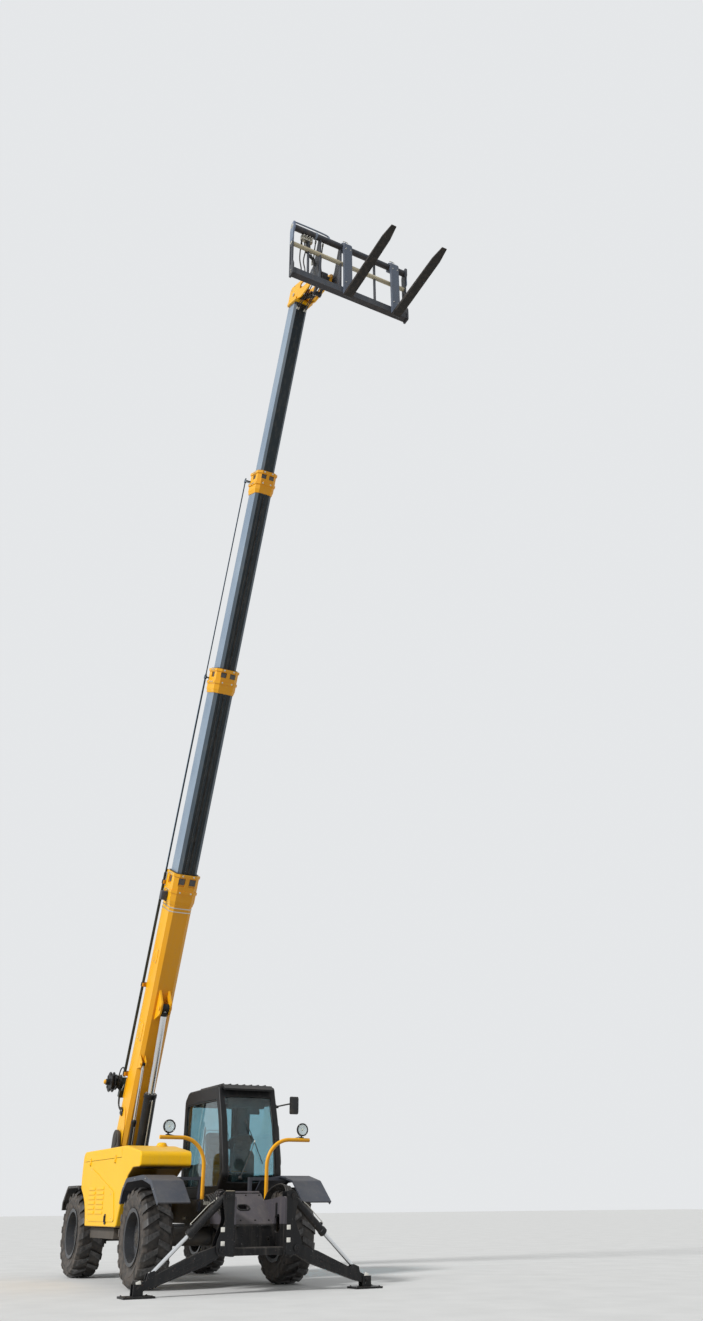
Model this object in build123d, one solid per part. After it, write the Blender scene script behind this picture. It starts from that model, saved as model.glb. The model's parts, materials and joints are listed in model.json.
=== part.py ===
from build123d import *
from math import atan2, cos, hypot, radians, sin
import os

# Telescopic handler with a four-part boom, a fork carriage and two front stabilisers.
# Built in millimetres on the front axle: +X forward, +Y to the cab side, +Z up, ground at 0.
# The pieces are written out moved by ORIGIN_X, so that the origin is below the middle of the box.

# ---------------------------------------------------------------- wheels and axles
WHEELBASE = 3070
TRACK = 2014
TYRE_R = 588
TYRE_W = 405
LUG_H = 34
LUG_W = 58
LUG_COUNT = 18
LUG_SWEEP = 120
LUG_TIP_DROP = 6
BEAD_R = 305
RIM_FLANGE_R = 330
RIM_T = 14
KINGPIN_INSET = 192
KINGPIN_Y = TRACK / 2 - KINGPIN_INSET
KNUCKLE_R = 78
KNUCKLE_H = 230
AXLE_R = 112
STUB_R = 62
HUB_R = 150

# ---------------------------------------------------------------- chassis
FRAME_Y = 315
FRAME_T = 30
FRAME_LOW = 735
FRAME_TOP = 1000
FRAME_REAR = -4290
FRAME_FRONT = 640
TOWER_T = 32
DECK_T = 20
HITCH_OUT = 120
HITCH_Z = 760
HITCH_GAP = 60
HITCH_T = 24
HITCH_PIN_R = 16.5
HITCH_WIDTH = 130
NOSE_TOP = (640, 1120)
NOSE_KNEE = (1110, 720)
NOSE_FOOT = (1170, 440)
NOSE_HALF = 330
ARM_T = 26

# ---------------------------------------------------------------- boom, in its own axes
PIVOT_X = -3683
PIVOT_Y = -195
PIVOT_Z = 1937
BOOM_DEG = 66.0
PIVOT_PIN_R = 45
COLLAR_1 = 4225
EXTEND = 3631
SECTION_W = (390, 345, 300, 255)
SECTION_H = (480, 430, 380, 330)
WALL = 9
BEND = 62
BEND_GROWTH = 2 - 2 ** 0.5
STRIP_W = 34
STRIP_H = 8
STRIP_Y = 38
COLLAR_LEN = (520, 420, 400)
COLLAR_T = 24
COLLAR_RIM = 14
BRACKET_SHIFT = 40
OVERLAP = 900
BASE_REAR = 330
REEL_PLACE = (760, 520)
REEL_R = 125
PAD_GAP = 0.3
FUSE = 0.5
TUBE_R = (24, 17, 11)
TUBE_WALL = 3
TUBE_OUT = 85
HEAD_LEN = 420
HEAD_SLEEVE = 40
NECK_DROP = 1000
NECK_W = SECTION_W[3] + 2 * PAD_GAP

# ---------------------------------------------------------------- fork carriage
CARRIAGE_W = 2250
CARRIAGE_H = 1330
CARRIAGE_FWD = 360
HEEL_DROP = 720
CARRIAGE_SHIFT = 380
FORK_LEN = 1550
FORK_W = 150
FORK_T = 60
FORK_TAPER = 18
FORK_Y = (95, 1040)
TOP_BAR_R = 55

# ---------------------------------------------------------------- cylinders
LIFT_FOOT = (-3300, 960)
LIFT_EYE = (2300, 418)
LIFT_R = 100
LIFT_ROD_R = 50
LIFT_BARREL = 1700
COMP_FOOT = (-3330, 1330)
COMP_EYE = (1350, 342)
COMP_Y = -345
COMP_R = 38
COMP_ROD_R = 20
COMP_BARREL = 900

TILT_FOOT = (-60, 60)
TILT_PIN_R = 22
TILT_R = 48
TILT_ROD_R = 25
TILT_BARREL = 620
LEVER_R = 300
LEVER_UP = 21
NECK_PIN_R = 38

# ---------------------------------------------------------------- stabilisers
STAB_X = 1385
STAB_PIVOT = (500, 470)
STAB_PAD = (1507, 100)
STAB_TOP = (450, 1050)
STAB_EYE_R = 880
STAB_EYE_UP = 70
STAB_BARREL_R = 48
STAB_ROD_R = 24
STAB_BARREL = 630
PAD_HALF = (130, 190)

# ---------------------------------------------------------------- cab
CAB_FRONT = -787
CAB_REAR = -2250
CAB_RIGHT = 223
CAB_LEFT = 1153
CAB_TOP = 2560
CAB_FLOOR = 1020
CAB_WALL = 55
GLASS_T = 6
DOOR_REAR = 420
CAB_EDGE_R = 30
GUARD_BARS = 7
SEAT_REAR = -2010
SEAT_LOW = 1340

# ---------------------------------------------------------------- engine pod
POD_OUT = -1185
POD_IN = -470
POD_REAR = -2790
POD_NOSE = 110
POD_TOP = 1700
POD_NOSE_TOP = 1600
POD_LOW = 690
POD_NOSE_LOW = 1410
POD_WALL = 26
POD_EDGE_R = 22
POD_PRESS = 9
POD_FLOOR = (-2330, -860)
ENGINE_X = (-2250, -950)
ENGINE_TOP = 1460
ENGINE_BARS = (-2100, -1150)
SLOT_ROWS = 6
SLOT_PITCH = 62
POD_BRACKETS = (-2150, -1000)
HINGE_R = 12
HINGE_PIN_R = 5
HINGE_LEN = 50
HINGE_LEAF = 38

# ---------------------------------------------------------------- lamps
LAMP_X = 560
LAMP_Y = 974
LAMP_Z = 1880
LAMP_FOOT_Y = 455
LAMP_TUBE_Z = 1750
LAMP_TUBE_END = 1090
LAMP_BEND = 330
LAMP_R = 72

# ---------------------------------------------------------------- running gaps
PIN_GAP = 0.3
SIDE_GAP = 6

ORIGIN_X = -((PIVOT_X + (COLLAR_1 + 3 * EXTEND) * cos(radians(BOOM_DEG))
              + NECK_DROP * sin(radians(BOOM_DEG)) + CARRIAGE_FWD + FORK_T + FORK_LEN)
             + FRAME_REAR - HITCH_OUT) / 2


BOOM = Plane(
    origin=(PIVOT_X, PIVOT_Y, PIVOT_Z),
    x_dir=(cos(radians(BOOM_DEG)), 0, sin(radians(BOOM_DEG))),
    z_dir=(-sin(radians(BOOM_DEG)), 0, cos(radians(BOOM_DEG))),
)


# ================================================================ shared shapes
def block(x, y, z):
    """A box between two x, two y and two z values."""
    middle = [(low + high) / 2 for low, high in (x, y, z)]
    return Pos(*middle) * Box(abs(x[1] - x[0]), abs(y[1] - y[0]), abs(z[1] - z[0]))


def outline(points):
    """A flat face; a third value on a point is the radius of its corner."""
    face = make_face(Polyline(*[point[:2] for point in points], close=True))
    for point in points:
        if len(point) > 2:
            corner = face.vertices().sort_by_distance(Vector(*point[:2]))[0]
            face = fillet(corner, point[2])
    return face


def side_plate(points, y0, y1):
    """An outline in X and Z, as thick as from y0 to y1."""
    low, high = min(y0, y1), max(y0, y1)
    return extrude(Plane.XZ.offset(-high) * outline(points), amount=high - low)


def front_plate(points, x0, x1):
    """An outline in Y and Z, as thick as from x0 to x1."""
    return extrude(Plane.YZ.offset(x0) * outline(points), amount=x1 - x0)


def rod(start, end, radius):
    """A round bar between two points."""
    start, end = Vector(*start), Vector(*end)
    along = end - start
    place = Plane(origin=start, z_dir=along)
    return place * Cylinder(radius, along.length, align=(Align.CENTER, Align.CENTER, Align.MIN))


def cross_pin(x, z, radius, y0, y1):
    """A round bar across the machine."""
    return rod((x, y0, z), (x, y1, z), radius)


def turned(points, centre):
    """A profile of (y, radius) points turned about the wheel's axle line."""
    return Pos(*centre) * revolve(Plane.YZ * outline(points), axis=Axis.Y)


def on_boom(shape):
    return BOOM.location * shape


def boom_point(along, below=0, y=0):
    """A place in the boom's own axes, as a point of the machine."""
    return BOOM.from_local_coords(Vector(along, y, -below))


def put(node, *shapes):
    """Write one piece, moved so that the origin is below the middle of the machine."""
    place = Location((ORIGIN_X, 0, 0))
    solids = [solid.moved(place) for shape in shapes for solid in shape.solids()]
    export_step(Compound(solids) if len(solids) > 1 else solids[0], f"parts/{node}.step")


# ================================================================ wheels, hubs and axles
def tyre_body():
    """Carcass of one tyre about the Y axis, up to the tread's floor."""
    floor = TYRE_R - LUG_H
    half = [
        (168, BEAD_R), (168, RIM_FLANGE_R + 4), (TYRE_W / 2, 445), (TYRE_W / 2 - 16, floor - 20),
        (TYRE_W / 2 - 66, floor),
    ]
    points = half + [(-y, r) for y, r in reversed(half)]
    return turned(points, (0, 0, 0))


def tyre_lugs():
    """Swept lugs in two rows, staggered, each ending on the shoulder."""
    shoulder = TYRE_W / 2 - 3
    top = TYRE_R - LUG_TIP_DROP
    foot = TYRE_R - LUG_H - 14
    profile = [
        (0, top), (shoulder - 50, top), (shoulder, TYRE_R - 44), (shoulder, TYRE_R - 96),
        (shoulder - 26, TYRE_R - 96),
        (shoulder - 66, foot), (0, foot),
    ]
    half = LUG_SWEEP / 2
    plan = [
        (-half - LUG_W / 2, -1), (-half + LUG_W / 2, -1), (half + LUG_W / 2, TYRE_W / 2),
        (half - LUG_W, TYRE_W / 2),
    ]
    bar = extrude(Plane.XY.offset(foot - 80) * outline(plan), amount=200)
    lug = front_plate(profile, -LUG_SWEEP, LUG_SWEEP) & bar
    other = mirror(lug, Plane.XZ)
    step = 360 / LUG_COUNT
    lugs = [Rot(0, step * turn, 0) * lug for turn in range(LUG_COUNT)]
    return lugs + [Rot(0, step * (turn + 0.5), 0) * other for turn in range(LUG_COUNT)]


def tyre():
    whole = tyre_body()
    for lug in tyre_lugs():
        whole += lug
    return whole


def rim(centre, out):
    """Barrel, dished disc and planet hub; out is +1 or -1, the outer side."""
    edge, disc, hub_in, hub_out = 182, 10, -60, 105
    inner = BEAD_R - RIM_T
    points = [
        (-edge, inner), (-edge, RIM_FLANGE_R), (-168, RIM_FLANGE_R), (-168, BEAD_R),
        (168, BEAD_R), (168, RIM_FLANGE_R), (edge, RIM_FLANGE_R), (edge, inner),
        (60, inner - 16), (disc + 16, HUB_R + 60), (disc + 16, HUB_R),
        (hub_out - 30, HUB_R - 12), (hub_out, HUB_R - 50), (hub_out, 0), (30, 0),
        (30, STUB_R + PIN_GAP), (hub_in, STUB_R + PIN_GAP), (hub_in, HUB_R - 20),
        (disc, HUB_R), (disc, HUB_R + 60), (30, inner - 10), (0, inner),
    ]
    return turned([(out * y, r) for y, r in points], centre)


def knuckle(axle_x, out):
    """Steering knuckle: turns about the kingpin line and carries the wheel on its stub."""
    y, z = out * KINGPIN_Y, TYRE_R
    post = Pos(axle_x, y, z) * Cylinder(KNUCKLE_R, KNUCKLE_H)
    stub = cross_pin(axle_x, z, STUB_R, y, out * (TRACK / 2 + 29))
    drum = cross_pin(axle_x, z, HUB_R - 30, y + out * 95, out * (TRACK / 2 - 62))
    neck = cross_pin(axle_x, z, 70, y, y + out * 100)
    return post + stub + drum + neck


def axle(axle_x):
    """Axle beam with its differential, yokes at the kingpins and seats under the frame."""
    z, reach, cap = TYRE_R, KINGPIN_Y - 105, 30
    half = KNUCKLE_H / 2 + PIN_GAP
    beam = cross_pin(axle_x, z, AXLE_R, -reach, reach)
    beam += cross_pin(axle_x, z, 165, -120, 120)
    beam += Pos(axle_x, 0, z) * Rot(0, 90, 0) * Cylinder(95, 420)
    for out in (-1, 1):
        y = out * KINGPIN_Y
        ends = (out * (reach - 60), y - out * 95)
        beam += block((axle_x - 78, axle_x + 78), ends, (z - half - cap, z + half + cap))
        for low, high in ((z + half, z + half + cap), (z - half - cap, z - half)):
            beam += block((axle_x - 78, axle_x + 78), (y - out * 100, y), (low, high))
            beam += Pos(axle_x, y, (low + high) / 2) * Cylinder(KNUCKLE_R, cap)
        seat_y = (out * FRAME_Y, out * (FRAME_Y + FRAME_T))
        beam += block((axle_x - 100, axle_x + 100), seat_y, (z, FRAME_LOW))
    return beam


# ================================================================ chassis
def chassis_frame():
    rear = PIVOT_X - 60
    plate = [
        (FRAME_REAR, 830), (FRAME_REAR, FRAME_TOP), (FRAME_FRONT, FRAME_TOP),
        (FRAME_FRONT, FRAME_LOW), (rear, FRAME_LOW),
    ]
    frame = side_plate(plate, -FRAME_Y - FRAME_T, -FRAME_Y)
    frame += side_plate(plate, FRAME_Y, FRAME_Y + FRAME_T)
    across = (-FRAME_Y - 1, FRAME_Y + 1)
    frame += block((LIFT_FOOT[0] - 250, LIFT_FOOT[0] + 400), across, (790, 790 + DECK_T))
    side = FRAME_Y + FRAME_T
    frame += block((-1180, FRAME_FRONT), (-side, side), (FRAME_TOP, FRAME_TOP + DECK_T))
    frame += block((-900, -700), across, (760, 900))
    frame += block((380, FRAME_FRONT), across, (800, FRAME_TOP))
    frame += block((FRAME_REAR, PIVOT_X + 230), (-470, 470), (FRAME_TOP, FRAME_TOP + DECK_T))
    for out in (-1, 1):
        foot = (out * (FRAME_Y + FRAME_T - 1), out * (LAMP_FOOT_Y + 50))
        frame += block((LAMP_X - 55, LAMP_X + 55), foot, (FRAME_TOP, FRAME_TOP + DECK_T))
    for x in POD_BRACKETS:
        frame += block((x - 60, x + 60), (POD_IN, -FRAME_Y - FRAME_T + 1), (800, 940))
    frame += boom_tower()
    frame += lift_foot_lugs()
    return frame


def boom_tower():
    """Two plates that hold the boom's pivot pin, above the rear deck."""
    base = FRAME_TOP + DECK_T
    gap = SECTION_W[0] / 2 + 35
    shape = [
        (PIVOT_X - 520, base), (PIVOT_X + 215, base), (PIVOT_X + 205, PIVOT_Z - 260, 120),
        (PIVOT_X + 150, PIVOT_Z + 150, 148), (PIVOT_X - 150, PIVOT_Z + 150, 148),
        (PIVOT_X - 240, PIVOT_Z - 360, 200),
    ]
    hole = [
        (PIVOT_X - 290, base + 110, 50), (PIVOT_X + 100, base + 110, 50), (PIVOT_X + 70, PIVOT_Z - 330, 60),
        (PIVOT_X - 130, PIVOT_Z - 330, 60),
    ]
    plate = outline(shape) - outline(hole)
    tower = None
    for low in (PIVOT_Y - gap - TOWER_T, PIVOT_Y + gap):
        side = extrude(Plane.XZ.offset(-low - TOWER_T) * plate, amount=TOWER_T)
        tower = side if tower is None else tower + side
    for y in (PIVOT_Y - gap - TOWER_T, PIVOT_Y + gap + TOWER_T):
        tower += cross_pin(PIVOT_X, PIVOT_Z, 92, y - 10, y + 10)
    reach = gap + TOWER_T + 14
    tower += cross_pin(PIVOT_X, PIVOT_Z, PIVOT_PIN_R, PIVOT_Y - reach, PIVOT_Y + reach)
    tower += block(
        (PIVOT_X - 470, PIVOT_X - 440), (PIVOT_Y - gap - 1, PIVOT_Y + gap + 1), (base, base + 90)
    )
    return tower


def lift_foot_lugs():
    x, z = LIFT_FOOT
    lugs = cross_pin(x, z, 40, PIVOT_Y - 110, PIVOT_Y + 110)
    shape = [(x - 130, 790 + DECK_T), (x + 130, 790 + DECK_T), (x + 60, z + 60), (x - 60, z + 60)]
    for y in (PIVOT_Y - 100, PIVOT_Y + 70):
        lugs += side_plate(shape, y, y + 30)
    comp_x, comp_z = COMP_FOOT
    base = FRAME_TOP
    reach = PIVOT_Y - SECTION_W[0] / 2 - 35
    lugs += cross_pin(comp_x, comp_z, 16, reach - TOWER_T, COMP_Y + 30)
    lugs += side_plate(
        [(PIVOT_X + 200, base + DECK_T), (comp_x + 70, comp_z - 60), (comp_x + 60, comp_z + 50),
         (comp_x - 40, comp_z + 60), (PIVOT_X + 200, comp_z + 150)],
        reach - TOWER_T, reach,
    )
    return lugs


def counterweight():
    """Cast weight that closes the rear of the frame, with a hitch for a tow pin."""
    rear, front = FRAME_REAR, FRAME_REAR + 330
    side = [
        (rear, 720, 40), (rear + 90, 640, 60), (front, 640), (front, FRAME_TOP), (rear, FRAME_TOP, 40),
    ]
    body = side_plate(side, -FRAME_Y, FRAME_Y)
    jaw = [
        (rear + 1, -90), (rear - HITCH_OUT + 60, -HITCH_WIDTH / 2, 40),
        (rear - HITCH_OUT, -HITCH_WIDTH / 2, 40),
        (rear - HITCH_OUT, HITCH_WIDTH / 2, 40), (rear - HITCH_OUT + 60, HITCH_WIDTH / 2, 40),
        (rear + 1, 90),
    ]
    for z in (HITCH_Z - HITCH_GAP / 2 - HITCH_T, HITCH_Z + HITCH_GAP / 2):
        body += extrude(Plane.XY.offset(z) * outline(jaw), amount=HITCH_T)
    pin = Pos(rear - HITCH_OUT + 60, 0, HITCH_Z) * Cylinder(HITCH_PIN_R, HITCH_GAP + 4 * HITCH_T)
    return body - pin


def nose():
    """Sloping front cover with an oval hole, and the arms that carry the stabilisers."""
    top, knee, foot = NOSE_TOP, NOSE_KNEE, NOSE_FOOT
    shape = [
        (FRAME_FRONT, FRAME_TOP + DECK_T), (top[0], top[1], 30),
        (knee[0], knee[1], 60), foot, (foot[0] - 24, foot[1]),
        (knee[0] - 24, knee[1] - 10, 40), (FRAME_FRONT + 30, FRAME_TOP - 10, 20),
        (FRAME_FRONT, FRAME_TOP - 30),
    ]
    cover = side_plate(shape, -NOSE_HALF, NOSE_HALF)
    web = [
        (FRAME_FRONT, FRAME_TOP - 20), (top[0] + 20, top[1] - 30), (knee[0] - 5, knee[1] - 5, 60),
        (foot[0] - 5, foot[1] + 20),
        (foot[0] - 70, foot[1] + 20), (knee[0] - 90, knee[1] - 60, 60), (FRAME_FRONT, FRAME_LOW),
    ]
    for out in (-1, 1):
        cover += side_plate(web, out * (NOSE_HALF - 22), out * NOSE_HALF)
    slope = atan2(top[1] - knee[1], knee[0] - top[0])
    middle = ((top[0] + knee[0]) / 2, 0, (top[1] + knee[1]) / 2)
    face = Plane(origin=middle, x_dir=(0, 1, 0), z_dir=(sin(slope), 0, cos(slope)))
    cover -= extrude(face * SlotOverall(150, 84), amount=120, both=True)
    for y in (-NOSE_HALF + 90, NOSE_HALF - 90):
        cover -= rod((foot[0] - 120, y, foot[1] + 130), (foot[0] + 60, y, foot[1] + 130), 26)
    return cover + stabiliser_arms()


def stabiliser_arms():
    """Two plates that run from the frame past the nose to the stabilisers."""
    shape = [
        (FRAME_FRONT, FRAME_TOP), (FRAME_FRONT + 260, FRAME_TOP + 10, 160),
        (STAB_X - 60, FRAME_TOP + 45, 80),
        (STAB_X + 75, FRAME_TOP + 45, 40), (STAB_X + 75, STAB_PIVOT[1] - 80, 50),
        (STAB_X - 140, STAB_PIVOT[1] - 80, 60),
        (FRAME_FRONT + 220, FRAME_LOW - 60, 200), (FRAME_FRONT, FRAME_LOW),
    ]
    hole = [
        (STAB_X - 250, 640, 40), (STAB_X - 90, 640, 40), (STAB_X - 90, 860, 40), (STAB_X - 250, 820, 40),
    ]
    plate = outline(shape) - outline(hole)
    arms = None
    for low in (-NOSE_HALF - ARM_T, NOSE_HALF):
        arm = extrude(Plane.XZ.offset(-low - ARM_T) * plate, amount=ARM_T)
        arms = arm if arms is None else arms + arm
    cross = side_plate([
        (STAB_X - 60, STAB_PIVOT[1] - 70), (STAB_X + 40, STAB_PIVOT[1] - 70),
        (STAB_X + 40, STAB_PIVOT[1] + 20, 30),
        (STAB_X - 60, STAB_PIVOT[1] + 20, 30),
    ], -NOSE_HALF, NOSE_HALF)
    return arms + cross


def stabiliser_mounts():
    """Fore and aft plates beside the nose that hold each leg's and cylinder's pins."""
    mounts = []
    for out in (-1, 1):
        py, pz = out * STAB_PIVOT[0], STAB_PIVOT[1]
        ty, tz = out * STAB_TOP[0], STAB_TOP[1]
        inner = out * (NOSE_HALF + ARM_T)
        shape = [
            (inner, pz - 70), (py + out * 70, pz - 70, 68), (py + out * 70, pz + 80, 50),
            (ty + out * 20, tz - 260, 120),
            (ty + out * 60, tz - 60, 50), (ty + out * 60, tz + 55, 50), (inner, tz + 55),
        ]
        piece = front_plate(shape, STAB_X - 75, STAB_X - 60) + front_plate(shape, STAB_X + 60, STAB_X + 75)
        for y, z, r in ((py, pz, 28), (ty, tz, 20)):
            piece += rod((STAB_X - 85, y, z), (STAB_X + 85, y, z), r)
        mounts.append(piece)
    return mounts


# ================================================================ stabilisers
def stab_point(out, radius, up=0):
    """A point on a lowered leg, at a radius from its pivot and so far above its middle line."""
    py, pz = STAB_PIVOT
    dy, dz = STAB_PAD[0] - py, STAB_PAD[1] - pz
    length = hypot(dy, dz)
    uy, uz = dy / length, dz / length
    return out * (py + uy * radius - uz * up), pz + uz * radius + uy * up


def stabiliser_leg(out):
    py, pz = STAB_PIVOT
    length = hypot(STAB_PAD[0] - py, STAB_PAD[1] - pz)
    corners = [
        (*stab_point(out, -50, 50), 40),
        (*stab_point(out, 300, 72), 120), stab_point(out, length - 120, 45),
        (*stab_point(out, length + 30, 40), 36), (*stab_point(out, length + 30, -40), 36),
        (*stab_point(out, length - 160, -62), 80), (*stab_point(out, 240, -92), 160),
        (*stab_point(out, -50, -55), 40),
    ]
    leg = front_plate(corners, STAB_X - 45, STAB_X + 45)
    leg += rod((STAB_X - 54, out * py, pz), (STAB_X + 54, out * py, pz), 62)
    leg -= rod((STAB_X - 90, out * py, pz), (STAB_X + 90, out * py, pz), 28 + PIN_GAP)
    ears = [
        stab_point(out, STAB_EYE_R - 90, 30), stab_point(out, STAB_EYE_R - 40, STAB_EYE_UP + 30),
        stab_point(out, STAB_EYE_R + 40, STAB_EYE_UP + 30), stab_point(out, STAB_EYE_R + 90, 30),
    ]
    leg += front_plate(ears, STAB_X - 44, STAB_X - 30) + front_plate(ears, STAB_X + 30, STAB_X + 44)
    slot_low = [
        stab_point(out, STAB_EYE_R - 75, 80), stab_point(out, STAB_EYE_R + 110, 80),
        stab_point(out, STAB_EYE_R + 110, -2), stab_point(out, STAB_EYE_R - 75, -2),
    ]
    leg -= front_plate(slot_low, STAB_X - 30, STAB_X + 30)
    half_x, half_y = PAD_HALF
    foot_y = out * STAB_PAD[0]
    leg += block((STAB_X - half_x, STAB_X + half_x), (foot_y - half_y, foot_y + half_y), (0, 22))
    for x in (STAB_X - 60, STAB_X + 44):
        leg += block((x, x + 16), (foot_y - 60, foot_y + 60), (20, STAB_PAD[1] + 40))
    leg += rod((STAB_X - 66, foot_y, STAB_PAD[1]), (STAB_X + 66, foot_y, STAB_PAD[1]), 25)
    return leg


def between(start, end, distance):
    """The point that lies a distance from start, on the way to end."""
    start, end = Vector(*start), Vector(*end)
    return start + (end - start).normalized() * distance


def stabiliser_barrel(out):
    ey, ez = stab_point(out, STAB_EYE_R, STAB_EYE_UP)
    top = (STAB_X, out * STAB_TOP[0], STAB_TOP[1])
    eye = (STAB_X, ey, ez)
    barrel = rod(between(top, eye, 30), between(top, eye, STAB_BARREL), STAB_BARREL_R)
    barrel += rod((STAB_X - 40, top[1], top[2]), (STAB_X + 40, top[1], top[2]), 38)
    barrel -= rod((STAB_X - 60, top[1], top[2]), (STAB_X + 60, top[1], top[2]), 20 + PIN_GAP)
    return barrel - rod(between(top, eye, 60), between(top, eye, STAB_BARREL + 5), STAB_ROD_R + PIN_GAP)


def stabiliser_rod(out):
    ey, ez = stab_point(out, STAB_EYE_R, STAB_EYE_UP)
    top = (STAB_X, out * STAB_TOP[0], STAB_TOP[1])
    eye = (STAB_X, ey, ez)
    piece = rod(between(top, eye, STAB_BARREL - 40), eye, STAB_ROD_R)
    return piece + rod((STAB_X - 22, ey, ez), (STAB_X + 22, ey, ez), 32)


# ================================================================ boom
def boom_profile(index, grow=0):
    """Cross-section of one boom part, with its two lower edges bent in."""
    w, h = SECTION_W[index] / 2 + grow, SECTION_H[index] / 2 + grow
    bend = BEND * SECTION_W[index] / SECTION_W[0] + grow * BEND_GROWTH
    return outline([(-w, h), (w, h), (w, bend - h), (w - bend, -h), (bend - w, -h), (-w, bend - h)])


def boom_tube(index, start, end):
    """One hollow boom part, in the boom's own axes."""
    ring = boom_profile(index) - boom_profile(index, -WALL)
    return extrude(Plane.YZ.offset(start) * ring, amount=end - start)


def chain_strips(index, start, end):
    """Two flat chain guides on the underside that run the length of a boom part."""
    under = -SECTION_H[index] / 2
    near, far = STRIP_Y - STRIP_W / 2, STRIP_Y + STRIP_W / 2
    strips = block((start, end), (near, far), (under - STRIP_H, under))
    return strips + block((start, end), (-far, -near), (under - STRIP_H, under))


def collar(index, gap):
    """The head collar round the front of one boom part, that far outside the part's skin."""
    centre = COLLAR_1 + index * EXTEND
    half = COLLAR_LEN[index] / 2
    w, h = SECTION_W[index], SECTION_H[index]
    sleeve = boom_profile(index, COLLAR_T) - boom_profile(index, gap)
    body = extrude(Plane.YZ.offset(centre - half + 60) * sleeve, amount=2 * half - 60)
    rear = Plane.YZ.offset(centre - half) * boom_profile(index, 8)
    front = Plane.YZ.offset(centre - half + 61) * boom_profile(index, COLLAR_T)
    hollow = extrude(Plane.YZ.offset(centre - half - 5) * boom_profile(index, gap), amount=90)
    body += loft([rear, front]) - hollow
    rim = boom_profile(index, COLLAR_T + COLLAR_RIM) - boom_profile(index, gap)
    for start in (centre + half - 46, centre - half * 0.25):
        body += extrude(Plane.YZ.offset(start) * rim, amount=46)
    window = (centre + 60, centre + half - 60)
    reach = COLLAR_T + COLLAR_RIM + 6
    for y in (-w * 0.24, w * 0.24):
        body -= block(window, (y - w * 0.15, y + w * 0.15), (-h / 2 - reach, -h / 2 + gap))
    for y in (-w / 2 - reach, w / 2 - gap):
        body -= block(window, (y, y + reach + gap), (-h * 0.12, h * 0.22))
    return body


def collar_pads(index):
    """Wear pads in the corners, between one boom part and the next."""
    start = COLLAR_1 + index * EXTEND + COLLAR_LEN[index] / 2 - 110
    inner = boom_profile(index, 0.5 - WALL) - boom_profile(index + 1, PAD_GAP)
    w, h = SECTION_W[index], SECTION_H[index]
    inner -= Rectangle(w + 9, h * 0.5)
    inner -= Rectangle(w * 0.42, h + 9)
    return extrude(Plane.YZ.offset(start) * inner, amount=100)


def service_tube(index, start, end):
    """A thin tube along the boom's upper right edge; each slides in the one before."""
    radius = TUBE_R[index]
    y = -SECTION_W[0] / 2 - TUBE_OUT + 30
    z = SECTION_H[0] / 2 + 20
    bore = rod((start - 5, y, z), (end + 5, y, z), radius - TUBE_WALL)
    return rod((start, y, z), (end, y, z), radius) - bore


def tube_bracket(index, along):
    """A small bracket from a collar out to the service tube."""
    y = -SECTION_W[0] / 2 - TUBE_OUT + 30
    z = SECTION_H[0] / 2 + 20
    radius = TUBE_R[index] - 1
    top = SECTION_H[index] / 2 + COLLAR_T
    edge = -SECTION_W[index] / 2 - COLLAR_T
    arm = block((along - 12, along + 12), (y - 8, edge + 60), (top - 30, z + 8))
    arm += rod((along - 30, y, z), (along + 30, y, z), TUBE_R[index] + 10)
    arm -= extrude(Plane.YZ.offset(along - 20) * boom_profile(index, COLLAR_T + PAD_GAP), amount=40)
    return arm - rod((along - 40, y, z), (along + 40, y, z), radius)


def boom_base():
    """The outer boom part with its pivot bush, collar and cylinder brackets."""
    front = COLLAR_1 + COLLAR_LEN[0] / 2
    body = boom_tube(0, -BASE_REAR, front - 1)
    reach = SECTION_W[0] / 2 + 33
    body += rod((0, -reach, 0), (0, reach, 0), 95)
    body -= rod((0, -reach - 5, 0), (0, reach + 5, 0), PIVOT_PIN_R + PIN_GAP)
    body += collar(0, -FUSE) + collar_pads(0)
    body += boom_lugs(LIFT_EYE, 0, 62, 95, 30, 42)
    body += boom_lugs(COMP_EYE, COMP_Y - PIVOT_Y, 30, 45, 12, 18)
    body += rear_rim() + hose_reel()
    tube = service_tube(0, 950, COLLAR_1 + 200)
    for along in (1000, 2500, COLLAR_1 + BRACKET_SHIFT):
        tube += tube_bracket(0, along)
    edge, top = -SECTION_W[0] / 2, SECTION_H[0] / 2
    for along in (1000, 2500):
        foot_y = (edge - COLLAR_T - PAD_GAP, edge + 40)
        tube += block((along - 40, along + 40), foot_y, (top + PAD_GAP, top + COLLAR_T + 3))
    return [on_boom(body), on_boom(tube)]


def rear_rim():
    """Stiffening band round the boom's open rear end, with doubler plates at the pivot."""
    band = boom_profile(0, 16) - boom_profile(0, -0.5)
    rim = extrude(Plane.YZ.offset(-BASE_REAR) * band, amount=70)
    h = SECTION_H[0]
    doubler = [
        (-BASE_REAR + 60, -h * 0.3), (-150, -h * 0.42, 60), (260, -h * 0.36, 60), (520, -h * 0.1, 40),
        (520, h * 0.12, 40),
        (180, h * 0.42, 60), (-BASE_REAR + 60, h * 0.42),
    ]
    half = SECTION_W[0] / 2
    plates = side_plate(doubler, half - 1, half + 10) + side_plate(doubler, -half - 10, 1 - half)
    return rim + plates - rod((0, -half - 30, 0), (0, half + 30, 0), 60)


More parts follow.
